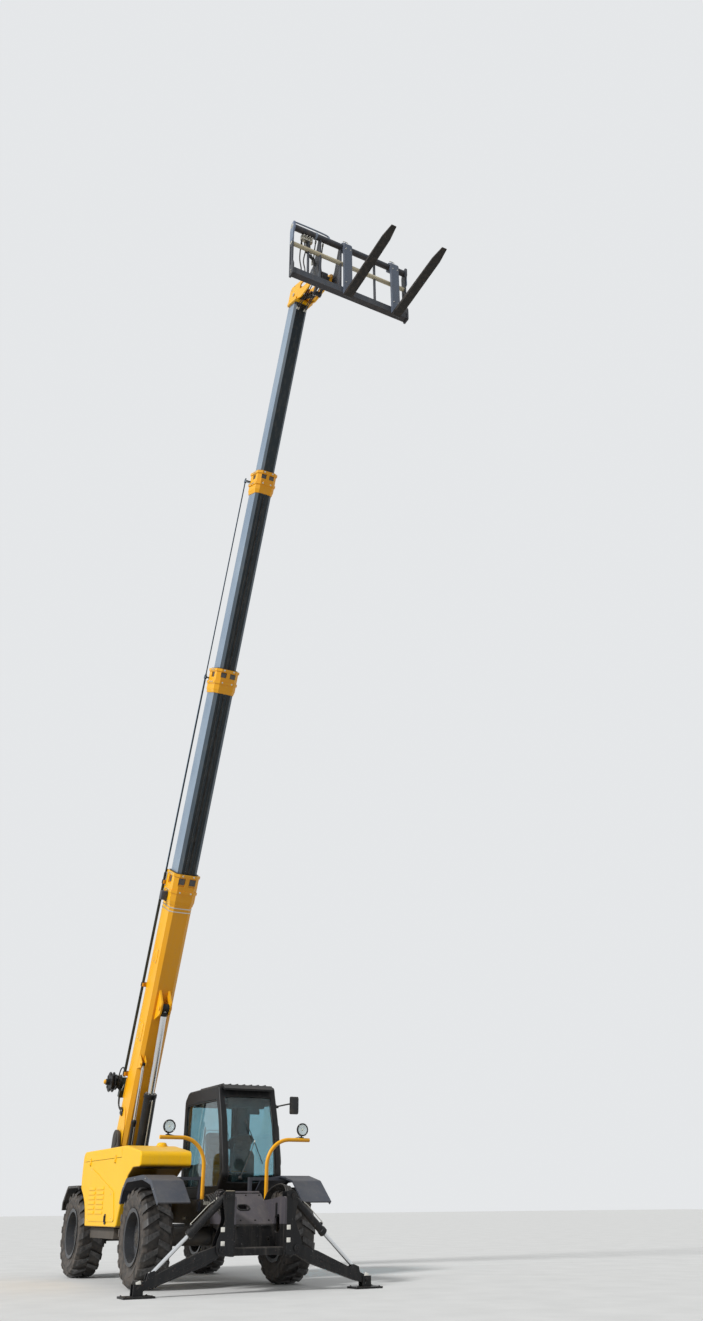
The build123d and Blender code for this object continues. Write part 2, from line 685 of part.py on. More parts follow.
def hose_reel():
    """Drum for the attachment's hoses on a bracket above the boom's right edge, with its valve block."""
    along, up = REEL_PLACE
    top = SECTION_H[0] / 2
    y = -SECTION_W[0] / 2 - 10
    bracket = [
        (along - 150, top - 30), (along + 190, top - 30), (along + 70, up + 60, 50),
        (along - 70, up + 60, 50),
    ]
    reel = side_plate(bracket, y, y + 14)
    flange, core = REEL_R, REEL_R * 0.62
    drum = [
        (y - 6, 0), (y - 6, flange), (y - 16, flange), (y - 22, core), (y - 78, core), (y - 84, flange),
        (y - 94, flange), (y - 94, 50), (y - 120, 46), (y - 120, 0),
    ]
    reel += Pos(along, 0, up) * revolve(Plane.YZ * outline(drum), axis=Axis.Y)
    reel += rod((along, y - 10, up), (along, y + 10, up), 40)
    valve = block((along - 175, along - 60), (y - 60, y + 14), (top + 40, top + 130))
    return reel + valve + block((along - 150, along + 100), (y + 13, y + 60), (top - 1, top + 12))


def boom_lugs(eye, y, inner, radius, thick, pin):
    """A pair of rounded lugs under the boom with bosses either side of a cylinder's open eye."""
    along, below = eye
    bottom = SECTION_H[0] / 2
    lugs = None
    for sign in (-1, 1):
        y0, y1 = y + sign * inner, y + sign * (inner + thick)
        low, high = min(y0, y1), max(y0, y1)
        rise = max(abs(y1) - SECTION_W[0] / 2 + BEND, 0) + 4
        shape = [
            (along - 2.6 * radius, rise - bottom), (along + 2.6 * radius, rise - bottom),
            (along + radius * 0.9, -below - radius * 0.75, radius * 0.7),
            (along - radius * 0.9, -below - radius * 0.75, radius * 0.7),
        ]
        lug = extrude(Plane.XZ.offset(-high) * outline(shape), amount=high - low)
        lug += rod((along, y1 - sign * 2, -below), (along, y1 + sign * 16, -below), pin)
        lugs = lug if lugs is None else lugs + lug
    return lugs


def boom_section(index):
    """Boom part 2 or 3, with its wear pads and its length of the service tube."""
    centre = COLLAR_1 + index * EXTEND
    front = centre + COLLAR_LEN[index] / 2
    before = COLLAR_1 + (index - 1) * EXTEND + COLLAR_LEN[index - 1] / 2
    body = boom_tube(index, before - OVERLAP, front - 1)
    body += collar_pads(index)
    body += chain_strips(index, before - OVERLAP, centre - COLLAR_LEN[index] / 2 - 5)
    tube = service_tube(index, centre - EXTEND - 60, centre + BRACKET_SHIFT + 60)
    tube += tube_bracket(index, centre + BRACKET_SHIFT)
    return [on_boom(body), on_boom(tube)]


def boom_tip():
    """The innermost boom part with the yellow head and its drop neck."""
    centre = COLLAR_1 + 3 * EXTEND
    before = COLLAR_1 + 2 * EXTEND + COLLAR_LEN[2] / 2
    return on_boom(boom_tube(3, before - OVERLAP, centre - HEAD_LEN / 2 + HEAD_SLEEVE))


def boom_head():
    """Fabricated head: a box on the boom's end with a neck down to the carriage pivot."""
    centre = COLLAR_1 + 3 * EXTEND
    h = SECTION_H[3]
    back, front = centre - HEAD_LEN / 2, centre + HEAD_LEN / 2 - 60
    top = h / 2 + 20
    shape = [
        (back, top), (front - 40, top, 30), (front, top - 70, 40), (front - 10, -h / 2 + 40, 120),
        (centre + 110, -NECK_DROP + 90, 60), (centre + 75, -NECK_DROP - 95, 74),
        (centre - 85, -NECK_DROP - 95, 74),
        (centre - 120, -NECK_DROP + 60, 60), (centre - 230, -h / 2 - 280, 90), (back, -h / 2 - 150),
    ]
    half = NECK_W / 2
    relief = [
        (centre - 40, -h / 2 - 150, 40), (centre + 70, -h / 2 - 150, 40),
        (centre + 50, -NECK_DROP + 190, 34),
        (centre - 45, -NECK_DROP + 190, 34),
    ]
    head = None
    for sign in (-1, 1):
        y0, y1 = sign * half, sign * (half + 22)
        low, high = min(y0, y1), max(y0, y1)
        cheek = extrude(Plane.XZ.offset(-high) * (outline(shape) - outline(relief)), amount=high - low)
        head = cheek if head is None else head + cheek
    head += block((back, front - 40), (-half - 1, half + 1), (top - 20, top))
    head += block((front - 22, front - 2), (-half - 1, half + 1), (-h / 2 + 90, top - 80))
    head += block((back, back + 24), (-half - 1, half + 1), (-h / 2 - 110, -h / 2))
    for y in (-half - 40, half + 22):
        head += block((back, back + 46), (y, y + 18), (-h / 2 - 100, top - 30))
    for sign in (-1, 1):
        head += rod((centre, sign * (half - 8), -NECK_DROP), (centre, sign * (half + 30), -NECK_DROP), 70)
    head -= rod((centre, -half - 60, -NECK_DROP), (centre, half + 60, -NECK_DROP), NECK_PIN_R + PIN_GAP)
    along, below = TILT_FOOT
    head += rod((centre + along, -half - 30, -below), (centre + along, half + 30, -below), TILT_PIN_R)
    return on_boom(head)


# ================================================================ fork carriage
def carriage_pivot():
    return boom_point(COLLAR_1 + 3 * EXTEND, NECK_DROP, 0)


def carriage_frame():
    """Wide fork frame: end plates, round bars, lower beam, hanger plates and the tilt lever."""
    pivot = carriage_pivot()
    px, pz = pivot.X, pivot.Z
    face, heel = px + CARRIAGE_FWD, pz - HEEL_DROP
    mid = PIVOT_Y + CARRIAGE_SHIFT
    left, right = mid - CARRIAGE_W / 2, mid + CARRIAGE_W / 2
    bar_z = heel + CARRIAGE_H - 90
    frame = carriage_ends(face, heel, bar_z, left, right)
    frame += cross_pin(face - 45, bar_z, TOP_BAR_R, left, right)
    frame += cross_pin(face - 70, bar_z - 380, 36, left, right)
    beam = [
        (face - 120, heel + 100, 14), (face - PIN_GAP, heel + 100), (face - PIN_GAP, heel + 230),
        (face - 60, heel + 246, 20),
        (face - 120, heel + 215, 20),
    ]
    frame += side_plate(beam, left, right)
    half = NECK_W / 2 + 22
    frame += carriage_hangers(face, heel, bar_z, half)
    for y in carriage_posts(left, right):
        post = [
            (face - 110, bar_z), (face - 66, bar_z), (face - 66, heel + 200), (face - 110, heel + 200),
        ]
        frame += side_plate(post, y - 14, y + 14)
    frame += cross_pin(px, pz, NECK_PIN_R, PIVOT_Y - half - 62, PIVOT_Y + half + 62)
    frame += cross_pin(px, pz, 78, PIVOT_Y - 66, PIVOT_Y + 66)
    tip = tilt_eye()
    for sign in (-1, 1):
        y0 = sign * 40
        y1 = sign * 66
        frame += lever_plate(tip, PIVOT_Y + y0, PIVOT_Y + y1)
        frame += cross_pin(tip.X, tip.Z, 26, PIVOT_Y + y1 - sign * 4, PIVOT_Y + y1 + sign * 12)
    return frame


def carriage_hangers(face, heel, bar_z, half):
    """Two bent plates from the carriage pin forward to the bars and the beam."""
    pivot = carriage_pivot()
    px, pz = pivot.X, pivot.Z
    shape = [
        (px - 85, pz - 70, 60), (px - 75, pz + 85, 60), (px + 70, pz + 100, 80), (face - 110, bar_z + 40, 30),
        (face - 20, bar_z + 40, 30), (face - 40, bar_z - 120, 60), (face - 50, heel + 260, 60),
        (face - 50, heel + 110), (face - 110, heel + 110, 20), (face - 140, heel + 420, 160),
    ]
    hangers = None
    for low in (PIVOT_Y - half - 62, PIVOT_Y + half + 36):
        hanger = side_plate(shape, low, low + 26)
        hangers = hanger if hangers is None else hangers + hanger
    return hangers


def carriage_posts(left, right):
    """Places across the frame of the flat posts behind the forks."""
    return (left + 330, right - 620)


def carriage_ends(face, heel, bar_z, left, right):
    """The two flame-cut end plates, each with a lightening hole."""
    shape = [
        (face - 130, heel + 70, 30), (face + 15, heel + 70, 20), (face + 20, heel + 300, 60),
        (face - 25, heel + 420, 60),
        (face - 20, bar_z - 180, 60), (face + 34, bar_z - 90, 40), (face + 34, bar_z + 88, 40),
        (face - 90, bar_z + 88, 50),
        (face - 135, bar_z - 60, 60),
    ]
    hole = [
        (face - 105, heel + 330, 18), (face - 60, heel + 330, 18), (face - 60, bar_z - 460, 18),
        (face - 105, bar_z - 460, 18),
    ]
    plate = outline(shape) - outline(hole)
    ends = None
    for low in (left, right - 28):
        end = extrude(Plane.XZ.offset(-low - 28) * plate, amount=28)
        ends = end if ends is None else ends + end
    return ends


def lever_plate(tip, y0, y1):
    """One side of the tilt lever, from the carriage pin out to the cylinder's open eye."""
    pivot = carriage_pivot()
    along = Vector(tip.X - pivot.X, 0, tip.Z - pivot.Z).normalized()
    side = Vector(-along.Z, 0, along.X)
    corners = [
        pivot + side * 75, tip + along * 50 + side * 34, tip + along * 50 - side * 34, pivot - side * 75,
    ]
    return side_plate([(p.X, p.Z) for p in corners], y0, y1)


def tilt_eye():
    """Place of the tilt cylinder's rod eye on the lever."""
    turn = radians(LEVER_UP)
    centre = COLLAR_1 + 3 * EXTEND
    return boom_point(centre - LEVER_R * cos(turn), NECK_DROP - LEVER_R * sin(turn), 0)


def forks():
    """Two forks that hang on the round top bar and rest on the lower beam."""
    pivot = carriage_pivot()
    face, heel = pivot.X + CARRIAGE_FWD, pivot.Z - HEEL_DROP
    bar_z = heel + CARRIAGE_H - 90
    tip = face + FORK_T + FORK_LEN
    shape = [
        (face, heel, FORK_T * 0.8), (face + FORK_T + 400, heel), (tip, heel + FORK_T - FORK_TAPER, 6),
        (tip, heel + FORK_T, 6),
        (face + FORK_T, heel + FORK_T, 22), (face + FORK_T, bar_z + 10, 20), (face, bar_z + 10),
    ]
    pieces = []
    for y in FORK_Y:
        fork = side_plate(shape, y - FORK_W / 2, y + FORK_W / 2)
        fork += cross_pin(face - 45, bar_z, TOP_BAR_R + 34, y - FORK_W / 2, y + FORK_W / 2)
        fork -= cross_pin(face - 45, bar_z, TOP_BAR_R + PIN_GAP, y - FORK_W, y + FORK_W)
        point = [
            (tip - 260, y - FORK_W), (tip - 260, y - FORK_W / 2), (tip + 5, y - FORK_W * 0.28),
            (tip + 5, y - FORK_W),
        ]
        for edge in (outline(point), outline([(x, 2 * y - side) for x, side in point])):
            fork -= extrude(Plane.XY.offset(heel - 10) * edge, amount=FORK_T + 20)
        pieces.append(fork)
    return pieces


# ================================================================ boom cylinders
def cylinder_barrel(foot, eye, length, radius, rod_radius, foot_r, half_width, pin_r):
    """Barrel from its foot pin towards the far eye, bored for its rod."""
    across = Vector(0, 1, 0)
    foot, eye = Vector(*foot), Vector(*eye)
    barrel = rod(between(foot, eye, foot_r + 42), between(foot, eye, length), radius)
    barrel += rod(foot, between(foot, eye, foot_r + 50), half_width - 2)
    barrel += rod(foot - across * half_width, foot + across * half_width, foot_r)
    barrel -= rod(foot - across * 2 * half_width, foot + across * 2 * half_width, pin_r + PIN_GAP)
    return barrel - rod(between(foot, eye, foot_r + 50), between(foot, eye, length + 5), rod_radius + PIN_GAP)


def cylinder_rod(foot, eye, length, rod_radius, eye_r, half_width):
    """Rod with a closed eye at its end; it starts inside the barrel."""
    across = Vector(0, 1, 0)
    foot, eye = Vector(*foot), Vector(*eye)
    piece = rod(between(foot, eye, length - 60), eye, rod_radius)
    return piece + rod(eye - across * half_width, eye + across * half_width, eye_r)


def cylinder_places():
    """Foot and eye of each boom cylinder, as points of the machine."""
    lift_eye = boom_point(LIFT_EYE[0], LIFT_EYE[1], 0)
    comp_eye = boom_point(COMP_EYE[0], COMP_EYE[1], COMP_Y - PIVOT_Y)
    tilt_foot = boom_point(COLLAR_1 + 3 * EXTEND + TILT_FOOT[0], TILT_FOOT[1], 0)
    tip = tilt_eye()
    return {
        "lift": ((LIFT_FOOT[0], PIVOT_Y, LIFT_FOOT[1]), (lift_eye.X, PIVOT_Y, lift_eye.Z)),
        "comp": ((COMP_FOOT[0], COMP_Y, COMP_FOOT[1]), (comp_eye.X, COMP_Y, comp_eye.Z)),
        "tilt": ((tilt_foot.X, PIVOT_Y, tilt_foot.Z), (tip.X, PIVOT_Y, tip.Z)),
    }


# ================================================================ cab
def cab_outline(inset=0):
    """Side outline of the cab, in X and Z, so far inside the outer skin."""
    points = [
        (CAB_REAR, CAB_FLOOR), (CAB_REAR, CAB_TOP - 120, 120), (CAB_REAR + 150, CAB_TOP, 150),
        (CAB_FRONT - 20, CAB_TOP, 70),
        (CAB_FRONT + 10, CAB_TOP - 110), (CAB_FRONT + 150, 2060, 400), (CAB_FRONT + 265, 1580, 500),
        (CAB_FRONT + 305, 1330, 120), (CAB_FRONT + 190, 1180, 90), (CAB_FRONT + 90, CAB_FLOOR),
    ]
    face = outline(points)
    return offset(face, amount=-inset, kind=Kind.INTERSECTION) if inset else face


def cab_block(inset):
    """The cab's whole form, so far inside its outer skin on every side."""
    width = CAB_LEFT - CAB_RIGHT - 2 * inset
    return extrude(Plane.XZ.offset(-(CAB_LEFT - inset)) * cab_outline(inset), amount=width)


def between_pillars(margin):
    """Span across the cab, so far inside its two sides."""
    return (CAB_RIGHT + margin, CAB_LEFT - margin)


def window_tools():
    """The volumes cut out of the cab's walls: name, and the solid that makes the hole."""
    post, sill = 90, 1180
    top = CAB_TOP - 190
    side = [
        (CAB_REAR + post, sill, 60), (CAB_REAR + post, top, 120), (CAB_FRONT - 60, top, 60),
        (CAB_FRONT + 70, 2040, 300),
        (CAB_FRONT + 170, 1560, 300), (CAB_FRONT + 200, 1350, 80), (CAB_FRONT + 105, sill, 40),
    ]
    tools = {
        "right": side_plate(side, CAB_RIGHT - 50, CAB_RIGHT + CAB_WALL + 20),
        "rear": block((CAB_REAR - 50, CAB_REAR + CAB_WALL + 20), between_pillars(110), (1500, top)),
        "front": block((CAB_FRONT - 60, CAB_FRONT + 500), between_pillars(85), (1230, CAB_TOP - 150)),
        "roof": block((CAB_REAR + 420, CAB_FRONT - 160), between_pillars(150), (CAB_TOP - 80, CAB_TOP + 50)),
    }
    return tools


def door_tool(grow=0):
    """The door's volume through the left wall."""
    top = CAB_TOP - 150 + grow
    shape = [
        (CAB_REAR + DOOR_REAR - grow, CAB_FLOOR + 60 - grow), (CAB_REAR + DOOR_REAR - grow, top),
        (CAB_FRONT - 70 + grow, top), (CAB_FRONT + 80 + grow, 2040), (CAB_FRONT + 180 + grow, 1560),
        (CAB_FRONT + 200 + grow, 1350), (CAB_FRONT + 100 + grow, 1200),
        (CAB_FRONT + grow, CAB_FLOOR + 60 - grow),
    ]
    return side_plate(shape, CAB_LEFT - CAB_WALL - 20, CAB_LEFT + 40)


def hinge_pair(place, length):
    """Two leaves and knuckles on one pin: the fixed half, then the moving half, along local Z."""
    fixed = Cylinder(HINGE_R, length) + Pos(0, 0, length) * Cylinder(HINGE_PIN_R, length)
    fixed += Pos(-HINGE_LEAF / 2, -HINGE_R / 2 - 2, 0) * Box(HINGE_LEAF - 8, HINGE_R, length)
    moving = Pos(0, 0, length + 0.5) * (Cylinder(HINGE_R, length) - Cylinder(HINGE_PIN_R + PIN_GAP, length))
    leaf = Pos(HINGE_LEAF / 2, -HINGE_R / 2 - 2, length + 0.5) * Box(HINGE_LEAF - 8, HINGE_R, length)
    moving += leaf - Pos(0, 0, length + 0.5) * Cylinder(HINGE_R - 1, length)
    return place * fixed, place * moving


def door_hinges():
    places = [Plane(origin=(CAB_REAR + DOOR_REAR - 3, CAB_LEFT + HINGE_R + 2, z)) for z in (1300, 2150)]
    return [hinge_pair(place, HINGE_LEN) for place in places]


def cab_shell():
    """Hollow cab with rounded edges, its windows cut, a front visor and bars over the roof window."""
    outer = cab_block(0)
    sides = outer.faces().sort_by(Axis.Y)
    outer = fillet(sides[-1].edges() + sides[0].edges(), CAB_EDGE_R)
    shell = outer - cab_block(CAB_WALL)
    for tool in window_tools().values():
        shell -= tool
    shell -= door_tool(SIDE_GAP)
    for fixed, moving in door_hinges():
        shell += fixed
    return shell + cab_visor() + roof_guard()


def cab_visor():
    """Lip that stands out over the windscreen, with a ledge for the roof guard's feet."""
    shape = [
        (CAB_FRONT - 120, CAB_TOP - 2), (CAB_FRONT - 20, CAB_TOP + 14, 30), (CAB_FRONT + 95, CAB_TOP - 50),
        (CAB_FRONT + 90, CAB_TOP - 74), (CAB_FRONT - 10, CAB_TOP - 40), (CAB_FRONT - 120, CAB_TOP - 20),
    ]
    return side_plate(shape, CAB_RIGHT + 60, CAB_LEFT - 60)


def roof_guard():
    """Flat bars over the roof window, on two cross rails."""
    rear, front = CAB_REAR + 380, CAB_FRONT - 110
    guard = block((rear, rear + 30), (CAB_RIGHT + 100, CAB_LEFT - 100), (CAB_TOP - 1, CAB_TOP + 16))
    guard += block((front - 30, front), (CAB_RIGHT + 100, CAB_LEFT - 100), (CAB_TOP - 1, CAB_TOP + 16))
    pitch = (CAB_LEFT - CAB_RIGHT - 240) / (GUARD_BARS - 1)
    for number in range(GUARD_BARS):
        y = CAB_RIGHT + 120 + number * pitch
        guard += block((rear, front), (y - 8, y + 8), (CAB_TOP + 14, CAB_TOP + 34))
    return guard


def cab_glass():
    skin = cab_block(24) - cab_block(24 + GLASS_T)
    panes = []
    for tool in window_tools().values():
        panes += (skin & tool).solids()
    return panes


def door_window():
    post, sill, top = 90, 1330, CAB_TOP - 240
    shape = [
        (CAB_REAR + post + DOOR_REAR - 20, sill, 70), (CAB_REAR + post + DOOR_REAR - 20, top, 70),
        (CAB_FRONT - 110, top, 50),
        (CAB_FRONT + 20, 2010, 300), (CAB_FRONT + 110, 1560, 200), (CAB_FRONT + 125, sill, 50),
    ]
    return side_plate(shape, CAB_LEFT - CAB_WALL - 30, CAB_LEFT + 30)


def cab_door():
    """Left door, as thick as the wall, with its window cut."""
    wall = cab_block(0) - cab_block(CAB_WALL)
    door = (wall & door_tool(0)) - door_window()
    for fixed, moving in door_hinges():
        door += moving
    return door


def door_glass():
    skin = cab_block(24) - cab_block(24 + GLASS_T)
    return skin & door_window()


def seat():
    """Operator's seat: cushion and backrest on a pedestal."""
    mid = (CAB_RIGHT + CAB_LEFT) / 2
    front, top = SEAT_REAR + 570, SEAT_LOW + 110
    cushion = block((SEAT_REAR + 80, front), (mid - 245, mid + 245), (SEAT_LOW, top))
    shape = [
        (SEAT_REAR + 20, top + 10), (SEAT_REAR + 120, top + 10), (SEAT_REAR + 40, top + 570),
        (SEAT_REAR - 50, top + 570),
    ]
    back = side_plate(shape, mid - 225, mid + 225)
    return [fillet(cushion.edges(), 30), fillet(back.edges(), 30)]


def seat_base():
    mid = (CAB_RIGHT + CAB_LEFT) / 2
    floor = CAB_FLOOR + CAB_WALL
    pedestal = [
        (SEAT_REAR + 120, floor), (SEAT_REAR + 510, floor), (SEAT_REAR + 470, floor + 90, 60),
        (SEAT_REAR + 470, SEAT_LOW - 70, 60),
        (SEAT_REAR + 520, SEAT_LOW), (SEAT_REAR + 100, SEAT_LOW), (SEAT_REAR + 150, SEAT_LOW - 70, 60),
        (SEAT_REAR + 150, floor + 90, 60),
    ]
    base = side_plate(pedestal, mid - 190, mid + 190)
    spine = [
        (SEAT_REAR, SEAT_LOW - 100), (SEAT_REAR + 150, SEAT_LOW - 100),
        (SEAT_REAR + 150, SEAT_LOW - 40, 20),
        (SEAT_REAR + 80, SEAT_LOW - 40, 20), (SEAT_REAR + 80, SEAT_LOW + 120), (SEAT_REAR, SEAT_LOW + 120),
    ]
    return base + side_plate(spine, mid - 100, mid + 100)


def dashboard():
    """Front console with the steering column and wheel."""
    mid = (CAB_RIGHT + CAB_LEFT) / 2
    floor = CAB_FLOOR + CAB_WALL
    shape = [
        (-900, floor), (-780, floor), (-790, 1600, 40), (-900, 1690, 50), (-985, 1590, 40),
        (-930, 1480, 60),
    ]
    column = side_plate(shape, mid - 150, mid + 150)
    centre, up = Vector(-1000, mid, 1790), Vector(-0.5, 0, 0.87)
    column += rod((-880, mid, 1590), (-1000, mid, 1790), 30)
    wheel = Plane(origin=centre, z_dir=up) * Torus(185, 16)
    spokes = Plane(origin=centre, z_dir=up) * (Box(370, 30, 12) + Box(30, 370, 12))
    return column + wheel + spokes


# ================================================================ engine pod
def pod_outline():
    """Side outline of the engine pod: sloping nose, and arches over both right wheels."""
    return [
        (POD_REAR, POD_TOP, 110), (POD_REAR - 10, 1350, 80), (-2775, 1190, 60), (-2630, 1100, 80),
        (-2515, 1000, 100),
        (-2450, 900, 120), (-2408, 800, 120), (-2380, POD_LOW, 40), (-800, POD_LOW, 50), (-640, 1020, 160),
        (-560, 1170, 120), (-420, 1310, 120), (-210, POD_NOSE_LOW, 160), (POD_NOSE, POD_NOSE_LOW, 50),
        (POD_NOSE, POD_NOSE_TOP, 70), (-600, POD_TOP, 300),
    ]


def pod_solid(inset):
    """The pod's whole form, so far inside its skin; its outer side's edges are rounded."""
    face = outline(pod_outline())
    if inset:
        face = offset(face, amount=-inset, kind=Kind.INTERSECTION)
    form = extrude(Plane.XZ.offset(-(POD_IN - inset)) * face, amount=POD_IN - POD_OUT - 2 * inset)
    return form if inset else fillet(form.faces().sort_by(Axis.Y)[0].edges(), POD_EDGE_R)


def lid_zone(grow):
    inner = POD_IN - POD_WALL - 6
    return block((-2690 - grow, -760 + grow), (POD_OUT - 60, inner + grow), (1560 - grow, 1800))


def lid_hinges():
    y = POD_IN - POD_WALL - 3
    z = POD_TOP + HINGE_R + 2
    places = [Plane(origin=(x, y, z), x_dir=(0, -1, 0), z_dir=(-1, 0, 0)) for x in (-2450, -1100)]
    return [hinge_pair(place, HINGE_LEN) for place in places]


def pod_body():
    """Hollow pod with a pressed side panel, cooling slots, the lid's opening and an open floor."""
    panel = [
        (POD_FLOOR[0] + 60, 1480, 60), (-1000, 1130, 80), (POD_FLOOR[1], POD_LOW + 70, 50),
        (POD_FLOOR[0] + 110, POD_LOW + 70, 50),
    ]
    shell = pod_solid(0) + side_plate(panel, POD_OUT - POD_PRESS, POD_OUT + 1) - pod_solid(POD_WALL)
    shell -= block(POD_FLOOR, (POD_OUT + 80, POD_IN - 80), (POD_LOW - 20, POD_LOW + POD_WALL + 20))
    shell -= lid_zone(SIDE_GAP)
    for row in range(SLOT_ROWS):
        z = POD_LOW + 180 + row * SLOT_PITCH
        for x in (-2080, -1640):
            slot = SlotOverall(360, SLOT_PITCH * 0.52)
            side = Plane(origin=(x, POD_OUT, z), x_dir=(1, 0, 0), z_dir=(0, -1, 0))
            shell -= extrude(side * slot, amount=POD_WALL + POD_PRESS, both=True)
    for fixed, moving in lid_hinges():
        shell += fixed
    return shell


def pod_lid():
    shell = pod_solid(0) - pod_solid(POD_WALL)
    lid = shell & lid_zone(0)
    for fixed, moving in lid_hinges():
        lid += moving
    return lid


def engine():
    """Engine and gearbox as one block, on two bars across the pod's floor rims."""
    floor = POD_LOW + POD_WALL
    unit = block(ENGINE_X, (POD_OUT + 150, POD_IN - 110), (floor + 30, ENGINE_TOP))
    for x in ENGINE_BARS:
        unit += block((x - 50, x + 50), (POD_OUT + POD_WALL + 5, POD_IN - POD_WALL - 5), (floor, floor + 31))
    return unit


# ================================================================ mudguards, lamps and fittings
def mudguard(axle_x, out, front):
    """Guard over a wheel with rounded bends and a turned-down lip along its outer edge."""
    inner, outer = 780, 1205
    if front:
        skin = [
            (-640, 985), (-560, 1150, 60), (-390, 1285, 120), (330, 1310, 160), (700, 1240, 90),
            (1030, 985), (1012, 972),
            (686, 1220, 80), (325, 1290, 150), (-382, 1266, 110), (-545, 1140, 50), (-622, 977),
        ]
        lip = [
            (-640, 985), (-560, 1150, 60), (-390, 1285, 120), (330, 1310, 160), (700, 1240, 90),
            (1030, 985), (985, 952),
            (670, 1188, 70), (315, 1254, 140), (-370, 1232, 100), (-515, 1118, 40), (-592, 968),
        ]
    else:
        skin = [
            (-690, 900), (-690, 1010, 60), (-430, 1240, 120), (200, 1240, 40), (262, 1196), (250, 1182),
            (194, 1222, 30),
            (-424, 1222, 110), (-672, 1003, 50), (-672, 900),
        ]
        lip = [
            (-690, 900), (-690, 1010, 60), (-430, 1240, 120), (200, 1240, 40), (262, 1196), (242, 1172),
            (186, 1208, 30),
            (-414, 1206, 90), (-640, 994, 40), (-640, 900),
        ]
    guard = side_plate([(axle_x + p[0], *p[1:]) for p in skin], out * inner, out * outer)
    guard += side_plate([(axle_x + p[0], *p[1:]) for p in lip], out * (outer - 10), out * outer)
    post_x = axle_x + (200 if front else 150)
    low = 1291 if front else 1223
    root = out * (FRAME_Y + FRAME_T)
    guard += block((post_x - 30, post_x + 30), (root, out * 900), (low - 40, low))
    guard += block((post_x - 30, post_x + 30), (root, out * (FRAME_Y + 70)), (FRAME_TOP - 120, low))
    return guard


def lamp_tubes():
    """Bent tubes from the front deck that carry the work lamps."""
    base = FRAME_TOP + DECK_T
    pieces = []
    for out in (-1, 1):
        path = FilletPolyline(
            (LAMP_X, out * LAMP_FOOT_Y, base), (LAMP_X, out * LAMP_FOOT_Y, LAMP_TUBE_Z),
            (LAMP_X, out * LAMP_TUBE_END, LAMP_TUBE_Z), radius=LAMP_BEND,
        )
        start = Plane(origin=path @ 0, z_dir=path % 0)
        pieces.append(sweep(start * Circle(25), path=path))
    return pieces


def work_lamps():
    """Round lamps with a domed back, a rim and a fork foot on their tube."""
    lamps = []
    bowl = [
        (-70, 0), (-66, 26), (-40, 58), (8, 68), (8, LAMP_R + 6), (30, LAMP_R + 6), (30, LAMP_R - 2),
        (22, LAMP_R - 6), (22, 0),
    ]
    for out in (-1, 1):
        y, z = out * LAMP_Y, LAMP_Z
        shell = Pos(LAMP_X, y, z) * (revolve(Plane.XY * outline(bowl), axis=Axis.X))
        stem = rod((LAMP_X - 12, y, LAMP_TUBE_Z + 26), (LAMP_X - 12, y, z - 40), 12)
        saddle = block((LAMP_X - 32, LAMP_X + 8), (y - 30, y + 30), (LAMP_TUBE_Z + 25, LAMP_TUBE_Z + 37))
        lamps.append(shell + stem + saddle)
    return lamps


def mirror_arm():
    x = CAB_FRONT + 70
    arm = rod((CAB_FRONT + 13, CAB_LEFT + 5, 2280), (x - 22, 1400, 2330), 11)
    arm += block((CAB_FRONT - 8, CAB_FRONT + 34), (CAB_LEFT, CAB_LEFT + 10), (2242, 2308))
    glass = block((x - 45, x + 5), (1380, 1520), (2180, 2430))
    return arm + fillet(glass.edges(), 18)


def side_tank():
    """Fuel tank and access steps under the cab."""
    tank = block((-2250, -1250), (FRAME_Y + FRAME_T, 1120), (640, CAB_FLOOR - 30))
    return fillet(tank.edges().filter_by(Axis.X), 50)


def cab_steps():
    steps = None
    for z in (430, 690):
        step = block((-1210, -820), (930, 1180), (z, z + 30))
        steps = step if steps is None else steps + step
    for x in (-1225, -820):
        steps += block((x, x + 15), (930, 1180), (430, CAB_FLOOR - 2))
    return steps + block((-1225, -805), (FRAME_Y + FRAME_T, 1180), (CAB_FLOOR - 22, CAB_FLOOR))


def write_chassis():
    put("chassis_frame", chassis_frame())
    put("counterweight", counterweight())
    put("nose", nose())
    put("stabiliser_mounts", *stabiliser_mounts())
    tread = tyre()
    for name, axle_x in (("front", 0), ("rear", -WHEELBASE)):
        put(f"{name}_axle", axle(axle_x))
        put(f"{name}_mudguards", *[mudguard(axle_x, out, name == "front") for out in (-1, 1)])
        for side_name, out in (("right", -1), ("left", 1)):
            centre = (axle_x, out * TRACK / 2, TYRE_R)
            put(f"knuckle_{name}_{side_name}", knuckle(axle_x, out))
            put(f"rim_{name}_{side_name}", rim(centre, out))
            put(f"tyre_{name}_{side_name}", Pos(*centre) * tread)
    for side_name, out in (("right", -1), ("left", 1)):
        put(f"stabiliser_leg_{side_name}", stabiliser_leg(out))
        put(f"stabiliser_barrel_{side_name}", stabiliser_barrel(out))
        put(f"stabiliser_rod_{side_name}", stabiliser_rod(out))


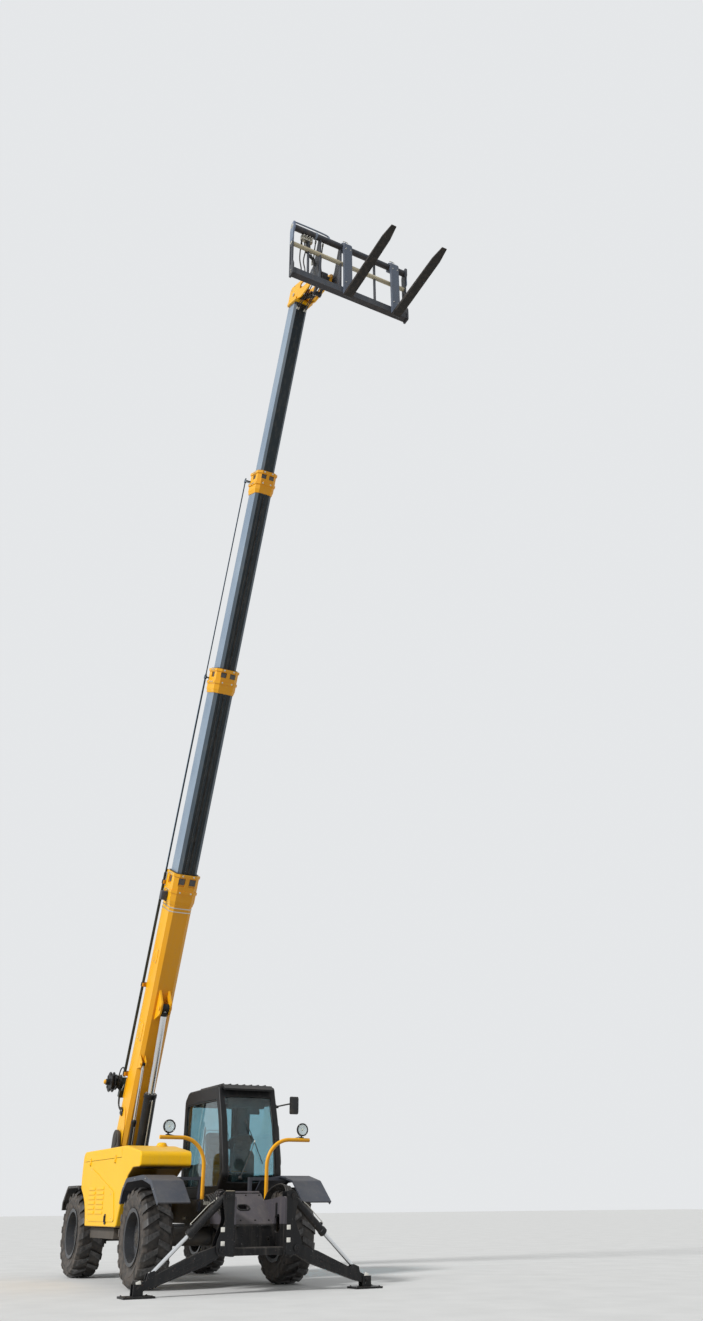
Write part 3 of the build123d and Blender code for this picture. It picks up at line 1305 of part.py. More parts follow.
def write_boom():
    put("boom_base", *boom_base())
    put("boom_section_2", *boom_section(1))
    put("boom_section_3", *boom_section(2))
    put("boom_collar_2", on_boom(collar(1, PAD_GAP)))
    put("boom_collar_3", on_boom(collar(2, PAD_GAP)))
    put("boom_section_4", boom_tip())
    put("boom_head", boom_head())
    put("carriage_frame", carriage_frame())
    put("forks", *forks())
    places = cylinder_places()
    put("lift_barrel", cylinder_barrel(*places["lift"], LIFT_BARREL, LIFT_R, LIFT_ROD_R, 75, 62, 40))
    put("lift_rod", cylinder_rod(*places["lift"], LIFT_BARREL, LIFT_ROD_R, 70, 54))
    put("comp_barrel", cylinder_barrel(*places["comp"], COMP_BARREL, COMP_R, COMP_ROD_R, 34, 24, 16))
    put("comp_rod", cylinder_rod(*places["comp"], COMP_BARREL, COMP_ROD_R, 28, 24))
    put("tilt_barrel", cylinder_barrel(*places["tilt"], TILT_BARREL, TILT_R, TILT_ROD_R, 45, 34, TILT_PIN_R))
    put("tilt_rod", cylinder_rod(*places["tilt"], TILT_BARREL, TILT_ROD_R, 38, 32))


def write_bodywork():
    put("cab_shell", cab_shell())
    put("cab_glass", *cab_glass())
    put("cab_door", cab_door())
    put("door_glass", door_glass())
    put("seat", *seat())
    put("seat_base", seat_base())
    put("dashboard", dashboard())
    put("pod_body", pod_body())
    put("pod_lid", pod_lid())
    put("engine", engine())
    put("lamp_tubes", *lamp_tubes())
    put("work_lamps", *work_lamps())
    put("mirror", mirror_arm())
    put("side_tank", side_tank())
    put("cab_steps", cab_steps())


os.makedirs("parts", exist_ok=True)
write_chassis()
write_boom()
write_bodywork()
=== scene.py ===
"""Looks of a large telescopic handler with its boom raised: finishes, fittings, hoses and treads."""
import json
import math

import bmesh
import bpy
from mathutils import Matrix, Vector


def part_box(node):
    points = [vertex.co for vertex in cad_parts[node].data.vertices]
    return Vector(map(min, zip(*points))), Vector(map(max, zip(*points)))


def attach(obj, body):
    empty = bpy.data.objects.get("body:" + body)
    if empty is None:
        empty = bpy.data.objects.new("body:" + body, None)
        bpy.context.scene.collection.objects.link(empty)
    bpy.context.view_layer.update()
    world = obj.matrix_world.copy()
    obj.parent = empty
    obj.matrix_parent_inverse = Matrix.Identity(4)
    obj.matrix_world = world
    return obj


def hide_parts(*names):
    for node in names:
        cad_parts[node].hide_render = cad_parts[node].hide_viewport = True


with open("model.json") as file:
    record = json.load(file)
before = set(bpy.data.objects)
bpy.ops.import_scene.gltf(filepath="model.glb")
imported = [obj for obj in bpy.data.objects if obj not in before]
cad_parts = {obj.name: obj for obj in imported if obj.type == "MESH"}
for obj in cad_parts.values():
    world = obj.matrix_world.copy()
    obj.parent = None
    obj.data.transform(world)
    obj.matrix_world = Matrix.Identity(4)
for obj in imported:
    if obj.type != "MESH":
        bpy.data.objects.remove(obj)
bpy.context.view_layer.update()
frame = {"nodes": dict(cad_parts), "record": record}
RECORD = frame["record"]
NODES = frame["nodes"]
JOINT = {joint["name"]: joint for joint in RECORD["behaviour"]["joints"]}
MM = 0.001
AHEAD, BACK, LEFT, RIGHT, UP, DOWN = (1, 0, 0), (-1, 0, 0), (0, 1, 0), (0, -1, 0), (0, 0, 1), (0, 0, -1)


# ------------------------------------------------------------------ camera
CAMERA_PLACE = Vector((14.466, -5.841, 0.928))
CAMERA_YAW = math.radians(28.061)
CAMERA_RISE = math.radians(27.862)
CAMERA_ROLL = math.radians(-0.438)
FILM_HEIGHT = 36.0
FOCAL_LENGTH = 28.13


def place_camera():
    """A wide lens near the floor, ahead of the machine, that looks up along the boom."""
    forward = Vector((
        -math.cos(CAMERA_YAW) * math.cos(CAMERA_RISE),
        math.sin(CAMERA_YAW) * math.cos(CAMERA_RISE),
        math.sin(CAMERA_RISE),
    ))
    level = forward.cross(Vector(UP)).normalized()
    upright = level.cross(forward)
    right = level * math.cos(CAMERA_ROLL) + upright * math.sin(CAMERA_ROLL)
    up = upright * math.cos(CAMERA_ROLL) - level * math.sin(CAMERA_ROLL)
    data = bpy.data.cameras.new("floor_level_camera")
    data.sensor_fit = "VERTICAL"
    data.sensor_height = FILM_HEIGHT
    data.lens = FOCAL_LENGTH
    data.clip_end = 500
    camera = bpy.data.objects.new("floor_level_camera", data)
    turn = Matrix((right, up, -forward)).transposed().to_4x4()
    camera.matrix_world = Matrix.Translation(CAMERA_PLACE) @ turn
    bpy.context.scene.collection.objects.link(camera)
    bpy.context.scene.camera = camera


place_camera()


# ------------------------------------------------------------------ shared shader tools
def colour(code):
    """An sRGB hex colour as linear light."""
    values = [int(code[i:i + 2], 16) / 255 for i in (0, 2, 4)]
    linear = [v / 12.92 if v <= 0.04045 else ((v + 0.055) / 1.055) ** 2.4 for v in values]
    return (*linear, 1.0)


def add(tree, kind, inputs=None, **settings):
    """Add a node: its settings, and for each input a value or the socket that feeds it."""
    made = tree.nodes.new(kind)
    for name, value in settings.items():
        setattr(made, name, value)
    for key, value in (inputs or {}).items():
        if isinstance(value, bpy.types.NodeSocket):
            tree.links.new(value, made.inputs[key])
        else:
            made.inputs[key].default_value = value
    return made


def new_material(name):
    """A material, its empty node tree and the place of each point in the piece's own axes."""
    made = bpy.data.materials.new(name)
    made.use_nodes = True
    tree = made.node_tree
    tree.nodes.clear()
    return made, tree, add(tree, "ShaderNodeTexCoord").outputs["Object"]


def close_material(tree, **inputs):
    """End a material in one physical shader."""
    shader = add(tree, "ShaderNodeBsdfPrincipled", inputs)
    add(tree, "ShaderNodeOutputMaterial", {"Surface": shader.outputs["BSDF"]})


def close_skin(tree, tone, height, strength, depth, dirt, clean, dirty, **more):
    """End a material in a skin with some relief, its roughness between a clean and a dirty value."""
    relief = add(tree, "ShaderNodeBump", {"Height": height, "Strength": strength, "Distance": depth})
    rough = add(tree, "ShaderNodeMapRange", {"Value": dirt, "To Min": clean, "To Max": dirty})
    close_material(tree, **{
        "Base Color": tone, "Roughness": rough.outputs["Result"], "Normal": relief.outputs["Normal"], **more,
    })


def patches(tree, place, size, low, high, share=1.0, detail=5.0, stretch=(1, 1, 1)):
    """A mask from 0 to `share` of irregular patches about `size` metres across."""
    laid = add(tree, "ShaderNodeMapping", {"Vector": place, "Scale": stretch})
    noise = add(
        tree, "ShaderNodeTexNoise", {"Vector": laid.outputs["Vector"], "Scale": 1 / size, "Detail": detail},
    )
    mask = add(tree, "ShaderNodeMapRange", {
        "Value": noise.outputs["Fac"], "From Min": low, "From Max": high, "To Max": share,
    })
    return mask.outputs["Result"]


def dusted(tree, place, tint, dirt_tint, size, low, high, share=1.0, detail=5.0):
    """A tint with irregular patches of another over it: the patches' mask, then the tone."""
    mask = patches(tree, place, size, low, high, share, detail)
    tone = add(tree, "ShaderNodeMix", {0: mask, 6: colour(tint), 7: colour(dirt_tint)}, data_type="RGBA")
    return mask, tone.outputs[2]


def looking(tree, way, low, high, share=1.0):
    """A mask from 0 to `share` on faces that look the given way, in the piece's own axes."""
    skin = add(tree, "ShaderNodeTexCoord")
    match = add(tree, "ShaderNodeVectorMath", {0: skin.outputs["Normal"], 1: way}, operation="DOT_PRODUCT")
    mask = add(tree, "ShaderNodeMapRange", {
        "Value": match.outputs["Value"], "From Min": low, "From Max": high, "To Max": share,
    })
    return mask.outputs["Result"]


def inside(tree, place, walls):
    """A mask of 1 where a place lies past every wall; a wall is a direction and a least reach along it."""
    share = 1.0
    for way, least in walls:
        reach = add(tree, "ShaderNodeVectorMath", {0: place, 1: tuple(way)}, operation="DOT_PRODUCT")
        past = add(tree, "ShaderNodeMapRange", {
            "Value": reach.outputs["Value"], "From Min": least, "From Max": least + 1 * MM,
        })
        both = add(tree, "ShaderNodeMath", {0: past.outputs["Result"], 1: share}, operation="MULTIPLY")
        share = both.outputs["Value"]
    return share


def worn_edges(tree, radius, low, share):
    """A mask on sharp outer edges, where paint rubs off first."""
    soft = add(tree, "ShaderNodeBevel", {"Radius": radius}, samples=4)
    sharp = add(tree, "ShaderNodeNewGeometry")
    match = add(tree, "ShaderNodeVectorMath", {
        0: soft.outputs["Normal"], 1: sharp.outputs["Normal"],
    }, operation="DOT_PRODUCT")
    mask = add(tree, "ShaderNodeMapRange", {
        "Value": match.outputs["Value"], "From Min": 0.985, "From Max": low, "To Max": share,
    })
    return mask.outputs["Result"]


# ------------------------------------------------------------------ finishes
DUST = "9a8b76"
RUST = "6b3d22"
STEEL = "8c8e90"
PIVOT = Vector(JOINT["boom_lift"]["pos_m"])
ALONG = Vector(JOINT["boom_extend_2"]["axis"]).normalized()
ABOVE = Vector((-ALONG.z, 0, ALONG.x))


def enamel(
    name, paint, faded, roughness=0.36, dust=0.35, chips=0.5, wear=0.6, film=("4c4234", 0.25), under=DOWN,
    gloss=0.5, second="", zones=(), dust_tint=DUST,
):
    """Sprayed enamel: satin gloss, faint orange peel, bleached patches, dust, chips, and a tint on the faces
    that look the `under` way: grime on some finishes, painted shade on others.
    """
    made, tree, place = new_material(name)
    _, tone = dusted(tree, place, paint, faded, 900 * MM, 0.35, 0.75)
    streaks = patches(tree, place, 60 * MM, 0.48, 0.85, dust, 6, (1, 1, 0.12))
    settled = add(tree, "ShaderNodeMath", {
        0: looking(tree, UP, 0.35, 0.95, dust * 1.6), 1: patches(tree, place, 260 * MM, 0.3, 0.7),
    }, operation="MULTIPLY").outputs["Value"]
    dusty = add(
        tree, "ShaderNodeMath", {0: streaks, 1: settled}, operation="ADD", use_clamp=True,
    ).outputs["Value"]
    # The first coat tints the faces that look the `under` way; on the boom, its slide sections and the pod
    # this tint is painted shade.
    coats = [(looking(tree, under, 0.35, 0.8, film[1]), film[0])]
    coats += [(inside(tree, place, walls), second) for walls in zones]
    coats.append((dusty, dust_tint))
    for mask, tint in coats:
        tone = add(tree, "ShaderNodeMix", {0: mask, 6: tone, 7: colour(tint)}, data_type="RGBA").outputs[2]
    rubbed = add(tree, "ShaderNodeMath", {
        0: worn_edges(tree, 5 * MM, 0.75, wear), 1: patches(tree, place, 45 * MM, 0.45, 0.60),
    }, operation="MULTIPLY").outputs["Value"]
    specks = patches(tree, place, 14 * MM, 0.70 - 0.04 * chips, 0.72 - 0.04 * chips, chips, 3)
    bare = add(tree, "ShaderNodeMath", {0: rubbed, 1: specks}, operation="MAXIMUM").outputs["Value"]
    _, metal = dusted(tree, place, RUST, STEEL, 30 * MM, 0.4, 0.6)
    tone = add(tree, "ShaderNodeMix", {0: bare, 6: tone, 7: metal}, data_type="RGBA").outputs[2]
    peel = add(tree, "ShaderNodeTexNoise", {"Vector": place, "Scale": 1 / (5 * MM), "Detail": 2.0})
    height = add(
        tree, "ShaderNodeMath", {0: peel.outputs["Fac"], 1: bare}, operation="SUBTRACT",
    ).outputs["Value"]
    shine = {"IOR": 1.5, "Specular IOR Level": gloss}
    close_skin(tree, tone, height, 0.12, 1 * MM, dusty, roughness, 0.85, **shine)
    return made


def bare_metal(name, tint, roughness, grain=0.0, grime=0.15, dirt_tint="4a4036"):
    """Bare or plated metal: clean highlights, a faint ground grain and oily grime."""
    made, tree, place = new_material(name)
    dirt, tone = dusted(tree, place, tint, dirt_tint, 120 * MM, 0.40, 0.8, grime)
    ground = patches(tree, place, 2.5 * MM, 0.3, 0.7, 0.6, 2)
    dull = add(tree, "ShaderNodeMath", {0: ground, 1: dirt}, operation="ADD", use_clamp=True).outputs["Value"]
    close_skin(tree, tone, ground, grain, 0.5 * MM, dull, roughness, roughness + 0.3, Metallic=1.0)
    return made


def casting(name, tint, dust=0.5, film="6e6252"):
    """Painted sand casting: pebbly skin with patches of oily dust."""
    made, tree, place = new_material(name)
    dusty, tone = dusted(tree, place, tint, film, 150 * MM, 0.35, 0.75, dust)
    pebbles = add(tree, "ShaderNodeTexNoise", {"Vector": place, "Scale": 1 / (7 * MM), "Detail": 4.0})
    close_skin(tree, tone, pebbles.outputs["Fac"], 0.4, 2 * MM, dusty, 0.5, 0.85, IOR=1.5)
    return made


# Radii on the tyre, from the top of its lugs in to the bulge of its sidewall.
LUG_TOP, LUG_FOOT, TREAD_FLOOR, SHOULDER, BULGE = 0.584, 0.566, 0.560, 0.556, 0.535


def tyre_compound(name, centre):
    """Black tyre compound: lug tops greyer, and earth dust in the tread's floor and on the sidewall's bulge.
    """
    made, tree, place = new_material(name)
    hub = add(
        tree, "ShaderNodeVectorMath", {0: place, 1: tuple(centre)}, operation="SUBTRACT",
    ).outputs["Vector"]
    flat = add(tree, "ShaderNodeVectorMath", {0: hub, 1: (1, 0, 1)}, operation="MULTIPLY").outputs["Vector"]
    radius = add(tree, "ShaderNodeVectorMath", {0: flat}, operation="LENGTH").outputs["Value"]
    floor = add(
        tree, "ShaderNodeMapRange",
        {"Value": radius, "From Min": LUG_TOP - 2 * MM, "From Max": TREAD_FLOOR, "To Max": 0.28},
    )
    wall = add(
        tree, "ShaderNodeMapRange",
        {"Value": radius, "From Min": SHOULDER, "From Max": BULGE, "To Min": 1.0, "To Max": 2.4},
    )
    earth = add(
        tree, "ShaderNodeMath", {0: floor.outputs["Result"], 1: wall.outputs["Result"]}, operation="MULTIPLY",
    )
    cloudy = patches(tree, place, 70 * MM, 0.28, 0.66, 1.0, 8)
    film = add(
        tree, "ShaderNodeMath", {0: earth.outputs["Value"], 1: cloudy}, operation="MULTIPLY",
    ).outputs["Value"]
    tone = add(
        tree, "ShaderNodeMix", {0: film, 6: colour("101112"), 7: colour("6d645c")}, data_type="RGBA",
    ).outputs[2]
    # The lug tops are made greyer, in patches.
    top = add(tree, "ShaderNodeMapRange", {"Value": radius, "From Min": LUG_FOOT, "From Max": LUG_TOP})
    greyer_lug_tops = add(tree, "ShaderNodeMath", {
        0: top.outputs["Result"], 1: patches(tree, place, 40 * MM, 0.2, 0.7, 0.8, 6),
    }, operation="MULTIPLY").outputs["Value"]
    tone = add(tree, "ShaderNodeMix", {0: greyer_lug_tops, 6: tone, 7: colour("5c5a59")}, data_type="RGBA").outputs[2]
    skin = add(tree, "ShaderNodeTexNoise", {"Vector": place, "Scale": 1 / (4 * MM), "Detail": 4.0})
    close_skin(tree, tone, skin.outputs["Fac"], 0.3, 1.5 * MM, film, 0.52, 0.95, IOR=1.52)
    return made


def rubber(name, tint, dusty, dust=0.3, grain=2 * MM):
    """Extruded rubber: dull black, faintly grained, with patches of dust."""
    made, tree, place = new_material(name)
    film, tone = dusted(tree, place, tint, dusty, 90 * MM, 0.30, 0.68, dust, 8)
    skin = add(tree, "ShaderNodeTexNoise", {"Vector": place, "Scale": 1 / grain, "Detail": 3.0})
    close_skin(tree, tone, skin.outputs["Fac"], 0.25, 1 * MM, film, 0.45, 0.9, IOR=1.52)
    return made


def moulding(name, tint, roughness=0.5, grain=1.6 * MM, dust=0.2):
    """Moulded, grained plastic: even colour, soft highlight, fine leather-like grain."""
    made, tree, place = new_material(name)
    film, tone = dusted(tree, place, tint, DUST, 180 * MM, 0.4, 0.8, dust)
    cells = add(tree, "ShaderNodeTexVoronoi", {"Vector": place, "Scale": 1 / grain})
    close_skin(tree, tone, cells.outputs["Distance"], 0.15, 0.4 * MM, film, roughness, 0.85, IOR=1.5)
    return made


# How far apart a wave texture sets its bands, in metres, at a scale of 1.
WAVE_STEP = 0.3


def safety_glass(name, tint, film_share=0.10, flutes=0.0):
    """Tempered glass: clear, mirror-smooth skin, a thin film of dust; lamp glass has moulded flutes."""
    made, tree, place = new_material(name)
    film = patches(tree, place, 220 * MM, 0.35, 0.8, film_share)
    ribs = add(
        tree, "ShaderNodeTexWave", {"Vector": place, "Scale": WAVE_STEP / (15 * MM)}, bands_direction="Y",
    )
    relief = add(
        tree, "ShaderNodeBump", {"Height": ribs.outputs["Fac"], "Strength": flutes, "Distance": 1 * MM},
    )
    pane = add(tree, "ShaderNodeBsdfPrincipled", {
        "Base Color": colour(tint), "Transmission Weight": 1.0, "Roughness": 0.02, "IOR": 1.45,
        "Normal": relief.outputs["Normal"],
    })
    dusty = add(tree, "ShaderNodeBsdfDiffuse", {"Color": colour("b9b2a4")})
    skin = add(tree, "ShaderNodeMixShader", {0: film, 1: pane.outputs["BSDF"], 2: dusty.outputs["BSDF"]})
    light = add(tree, "ShaderNodeLightPath")
    through = add(tree, "ShaderNodeBsdfTransparent", {"Color": colour(tint)})
    clear = add(tree, "ShaderNodeMixShader", {
        0: light.outputs["Is Shadow Ray"], 1: skin.outputs["Shader"], 2: through.outputs["BSDF"],
    })
    add(tree, "ShaderNodeOutputMaterial", {"Surface": clear.outputs["Shader"]})
    return made


def woven_cloth(name, tint, light, thread=4 * MM):
    """Woven seat cloth: matt, crossed threads drawn coarse enough to show."""
    made, tree, place = new_material(name)
    warp = add(tree, "ShaderNodeTexWave", {"Vector": place, "Scale": WAVE_STEP / thread}, bands_direction="X")
    weft = add(tree, "ShaderNodeTexWave", {"Vector": place, "Scale": WAVE_STEP / thread}, bands_direction="Y")
    weave = add(tree, "ShaderNodeMath", {
        0: warp.outputs["Fac"], 1: weft.outputs["Fac"],
    }, operation="MULTIPLY").outputs["Value"]
    tone = add(
        tree, "ShaderNodeMix", {0: weave, 6: colour(tint), 7: colour(light)}, data_type="RGBA",
    ).outputs[2]
    relief = add(tree, "ShaderNodeBump", {"Height": weave, "Strength": 0.5, "Distance": 1 * MM})
    close_material(tree, **{
        "Base Color": tone, "Roughness": 0.9, "Sheen Weight": 0.1, "Normal": relief.outputs["Normal"],
    })
    return made


# ------------------------------------------------------------------ places the finishes need
BOOM_UNDER = tuple(-ABOVE)
TILT_PIN = Vector(JOINT["carriage_tilt"]["pos_m"])
CARRIAGE_SIDES = [corner[1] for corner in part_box("carriage_frame")]
CARRIAGE_FACE = TILT_PIN.x + 0.36
CARRIAGE_HEEL = TILT_PIN.z - 0.72
CARRIAGE_BAR = CARRIAGE_HEEL + 1.24

# A zone is a list of walls: a direction and the least reach along it.
REEL_BRACKET = [(ABOVE, ABOVE.dot(PIVOT) + 0.2415), (-ALONG, -ALONG.dot(PIVOT) - 1.2)]
SERVICE_TUBE = [(ABOVE, ABOVE.dot(PIVOT) + 0.233), (RIGHT, -PIVOT.y + 0.222)]
FORK_SHANK = [(BACK, -(CARRIAGE_FACE + 0.062)), (UP, TILT_PIN.z - 0.66)]
LOW_NOSE = [(DOWN, -0.738)]
CARRIAGE_RIGHT_END = [(RIGHT, -CARRIAGE_SIDES[0] - 0.029), (UP, TILT_PIN.z + 0.16)]

# ------------------------------------------------------------------ finishes of this machine
FINISHES, SLOT_OF = {}, {}


def finish(name, slot, recipe, *values, **settings):
    """Make one finish and note the record's slot that it stands for."""
    FINISHES[name] = recipe(name, *values, **settings)
    SLOT_OF[name] = slot


# An enamel's values are its paint and faded tone, then roughness, dust, chips, wear and the tint of the faces
# below: grime on some finishes, painted shade on others.

# Two-pack enamel, sprayed: warm satin gloss on lit faces, and an orange-brown underside that is painted shade
# over a little slide grease.
BOOM_YELLOW = ("f6b000", "f0b828", 0.38, 0.10, 0.4, 0.5, ("b4701a", 0.55), BOOM_UNDER, 0.3)
finish("yellow_enamel", "yellow_paint", enamel, *BOOM_YELLOW)
# The same enamel on the outer boom part, whose reel bracket and service tube are sprayed black.
finish("boom_base_enamel", "yellow_paint", enamel, *BOOM_YELLOW, "1d231e", (REEL_BRACKET, SERVICE_TUBE))
# Enamel on folded sheet: a slightly lemon yellow, with painted shade, dark maroon, on its downward faces.
finish(
    "pod_enamel", "yellow_paint", enamel, "f9bd00", "f2c024", 0.42, 0.10, 0.5, 0.5, ("2c1614", 0.85),
    gloss=0.25,
)
# Enamel on the slide sections: chalky blue-grey sides, and below them painted shade, almost black, that also
# stands for grease.
finish(
    "blue_grey_enamel", "blue_grey_paint", enamel, "7d8fa2", "93a3b2", 0.42, 0.12, 0.3, 0.3, ("0a171c", 0.97),
    BOOM_UNDER, 0.3,
)
# Enamel on sheet steel: slate-dark and satin, greyed by road dust on its upper faces.
finish(
    "dark_grey_enamel", "dark_grey_paint", enamel, "343841", "444953", 0.50, 0.20, 0.5, 0.4, gloss=0.35,
    dust_tint="77736e",
)
# Enamel on thick plate: a warm grey cover above a black lower front.
finish(
    "nose_enamel", "dark_grey_paint", enamel, "474449", "575358", 0.55, 0.28, 0.5, 0.4, ("0c0b0b", 0.9),
    DOWN, 0.25, "131314", (LOW_NOSE,), "7c756e",
)
# Semi-matt chassis enamel: near black, with a thin earth film and few highlights.
finish(
    "black_enamel", "black_paint", enamel, "0e0f11", "191a1c", 0.45, 0.12, 0.5, 0.4, gloss=0.3,
    dust_tint="6b655d",
)
# The same enamel low on the machine: dulled to brown-black by mud that has dried and been brushed off.
finish(
    "frame_enamel", "black_paint", enamel, "33302d", "45413c", 0.6, 0.26, 0.5, 0.5, ("14110e", 0.7),
    gloss=0.25, dust_tint="6d6459",
)
# The sill beam between the wheels: the same enamel under a standing coat of road dust.
finish(
    "dusty_frame_enamel", "black_paint", enamel, "4f4a44", "5e5850", 0.6, 0.22, 0.5, 0.5, gloss=0.25,
    dust_tint="7a7166",
)
# Enamel on welded plate: blue-black, rubbed at its edges, its right end a lighter slate.
finish(
    "carriage_enamel", "dark_grey_paint", enamel, "2c3036", "454a53", 0.5, 0.18, 0.5, 0.8, ("2b1f17", 0.5),
    DOWN, 0.35, "6d7a90", (CARRIAGE_RIGHT_END,), "8a7866",
)
# Enamel on small carriage fittings: slate blue with bare, bright edges.
finish("slate_enamel", "blue_grey_paint", enamel, "66758a", "8290a0", 0.45, 0.2, 0.8, 0.8, gloss=0.35)
# Enamel on a rub rail: bleached to straw by the sun, worn through in specks.
finish("bleached_enamel", "blue_grey_paint", enamel, "b7ab8d", "cdc4a9", 0.5, 0.25, 1.2, 0.9, gloss=0.35)
# Forged fork steel with its works enamel worn off: brown-black blades, slate-grey shanks.
finish(
    "fork_enamel", "bare_steel", enamel, "17130f", "2a231d", 0.5, 0.25, 0.5, 0.9, ("0c0a08", 0.6), DOWN, 0.35,
    "4f5866", (FORK_SHANK,), "6d5b4a",
)
# Stove enamel on pressed rims: hard black with a crisp rim light and a little brake dust.
finish(
    "black_wheel_enamel", "wheel_paint", enamel, "1b1d20", "3c3e42", 0.36, 0.16, 0.6, 0.4, gloss=0.6,
    dust_tint="5c5852",
)
# Hard chrome on ground rod: a white mirror streak with a trace of oil.
finish("hard_chrome", "chromed_rod", bare_metal, "d8dadc", 0.14, 0.02, 0.08)
# Zinc plate on fasteners and pipes: pale, slightly yellow, softly shiny.
finish("zinc_plate", "bare_steel", bare_metal, "c9c6bb", 0.32, 0.05, 0.25)
# Blued chain steel in oil: dark grey with wet glints between the plates.
finish("oily_chain_steel", "bare_steel", bare_metal, "4c4a48", 0.38, 0.1, 0.6, dirt_tint="15120f")
# Silvered mirror and lamp bowl: a clear reflection.
finish("mirror_silver", "chromed_rod", bare_metal, "e6e9ea", 0.03, 0.0, 0.05)
# Sand-cast iron, painted black: pebbly and dull.
finish("cast_iron_black", "cast_iron", casting, "1f2022")
# The same iron, warm and brown with baked oil.
finish("engine_casting", "cast_iron", casting, "2a2725", 0.7, "4a4138")
# Nitrile hose cover, extruded: dull black with a dusty bloom.
finish("hose_rubber", "black_plastic", rubber, "121212", "4e463c")
# Ethylene rubber profile, extruded: a little softer and cleaner than the hoses.
finish("seal_rubber", "black_plastic", rubber, "0e0e0f", "3a3733", 0.2)
# Polypropylene, moulded with a leather grain: black with a soft highlight.
finish("black_moulding", "black_plastic", moulding, "141517")
# The same plastic in mid grey with a coarser grain.
finish("grey_moulding", "black_plastic", moulding, "3b3d40", 0.55, 2 * MM, 0.3)
# Cast nylon: waxy ivory, so that a lamp's bulb shows pale in its bowl.
finish("slide_pad_nylon", "black_plastic", moulding, "c9c2a4", 0.45, 3 * MM, 0.4)
# Moulded acrylic tab: pale and smooth, its prisms too fine to see.
finish("pale_reflector", "black_plastic", moulding, "e6e4dc", 0.35, 4 * MM, 0.15)
# Red acrylic, moulded with flutes.
finish("red_lens", "tinted_glass", safety_glass, "c9281e", 0.08, 0.4)
# Pressed clear glass with flutes that break up the bulb.
finish("lamp_glass", "tinted_glass", safety_glass, "eef3f3", 0.08, 0.6)
# Tempered glass, tinted blue-green in the melt: a cool cast on all that is seen through it.
finish("teal_glass", "tinted_glass", safety_glass, "b2d3db", 0.06)
# Polyester seat cloth, woven: matt charcoal.
finish("seat_weave", "seat_cloth", woven_cloth, "0b0c0e", "1f2226")

CAD_FINISH = {
    "boom_base_enamel": ["boom_base"],
    "yellow_enamel": ["boom_head", "lamp_tubes", "boom_collar_2", "boom_collar_3"],
    "pod_enamel": ["pod_body", "pod_lid"],
    "blue_grey_enamel": ["boom_section_2", "boom_section_3", "boom_section_4"],
    "nose_enamel": ["nose"],
    "dark_grey_enamel": ["front_mudguards"],
    "carriage_enamel": ["carriage_frame"],
    "frame_enamel": ["chassis_frame", "counterweight", "cab_steps"],
    "black_enamel": [
        "stabiliser_mounts", "cab_shell", "cab_door", "lift_barrel", "comp_barrel", "tilt_barrel",
        "stabiliser_leg_right", "stabiliser_leg_left", "stabiliser_barrel_right", "stabiliser_barrel_left",
    ],
    "hard_chrome": ["lift_rod", "comp_rod", "tilt_rod", "stabiliser_rod_right", "stabiliser_rod_left"],
    "fork_enamel": ["forks"],
    "black_moulding": ["rear_mudguards", "seat_base", "dashboard", "work_lamps", "mirror", "side_tank"],
    "teal_glass": ["cab_glass", "door_glass"],
    "seat_weave": ["seat"],
    "engine_casting": ["engine"],
    "cast_iron_black": ["front_axle", "rear_axle"],
}
CORNERS = [(end, side, out) for end in ("front", "rear") for side, out in (("right", -1), ("left", 1))]


def dress(obj, material):
    """Give a mesh object one finish."""
    if not obj.material_slots:
        obj.data.materials.append(None)
    for held in obj.material_slots:
        held.material = material


def dress_solids():
    """Give every solid its finish; each tyre's dust is laid about its own hub."""
    for coat, names in CAD_FINISH.items():
        for name in names:
            dress(NODES[name], FINISHES[coat])
    for end, side, _ in CORNERS:
        centre = JOINT[f"{end}_wheel_{side}"]["pos_m"]
        dress(NODES[f"rim_{end}_{side}"], FINISHES["black_wheel_enamel"])
        dress(NODES[f"knuckle_{end}_{side}"], FINISHES["cast_iron_black"])
        dress(NODES[f"tyre_{end}_{side}"], tyre_compound(f"tyre_compound_{end}_{side}", centre))


# ------------------------------------------------------------------ places and directions
FRONT_HUB = Vector(JOINT["front_wheel_right"]["pos_m"])
REAR_HUB = Vector(JOINT["rear_wheel_right"]["pos_m"])
AXLE_HEIGHT = FRONT_HUB.z
REAR_AXLE = REAR_HUB.x - FRONT_HUB.x


def at(x, y, z):
    """A place by metres ahead of the front axle, to the cab side and above the ground."""
    return Vector((FRONT_HUB.x + x, y, z))


def path(*places):
    """A run of such places."""
    return [at(*place) for place in places]


def on_boom(along, above, out=0.0):
    """A place in the boom's own axes, from its pivot."""
    return PIVOT + ALONG * along + ABOVE * above + Vector((0, out, 0))


def boom_path(*places):
    """A run of such places."""
    return [on_boom(*place) for place in places]


def clock(count, start=0.0):
    """Cosine and sine of evenly spaced directions round a circle."""
    angles = [math.tau * (k + start) / count for k in range(count)]
    return [(math.cos(angle), math.sin(angle)) for angle in angles]


def aim(place, way, top=UP):
    """Axes at a place with Z along the way and X near the top direction."""
    z = Vector(way).normalized()
    top = Vector(top)
    if abs(z.dot(top.normalized())) > 0.99:
        top = Vector(AHEAD)
    x = (top - z * z.dot(top)).normalized()
    turn = Matrix((x, z.cross(x), z)).transposed().to_4x4()
    return Matrix.Translation(Vector(place)) @ turn


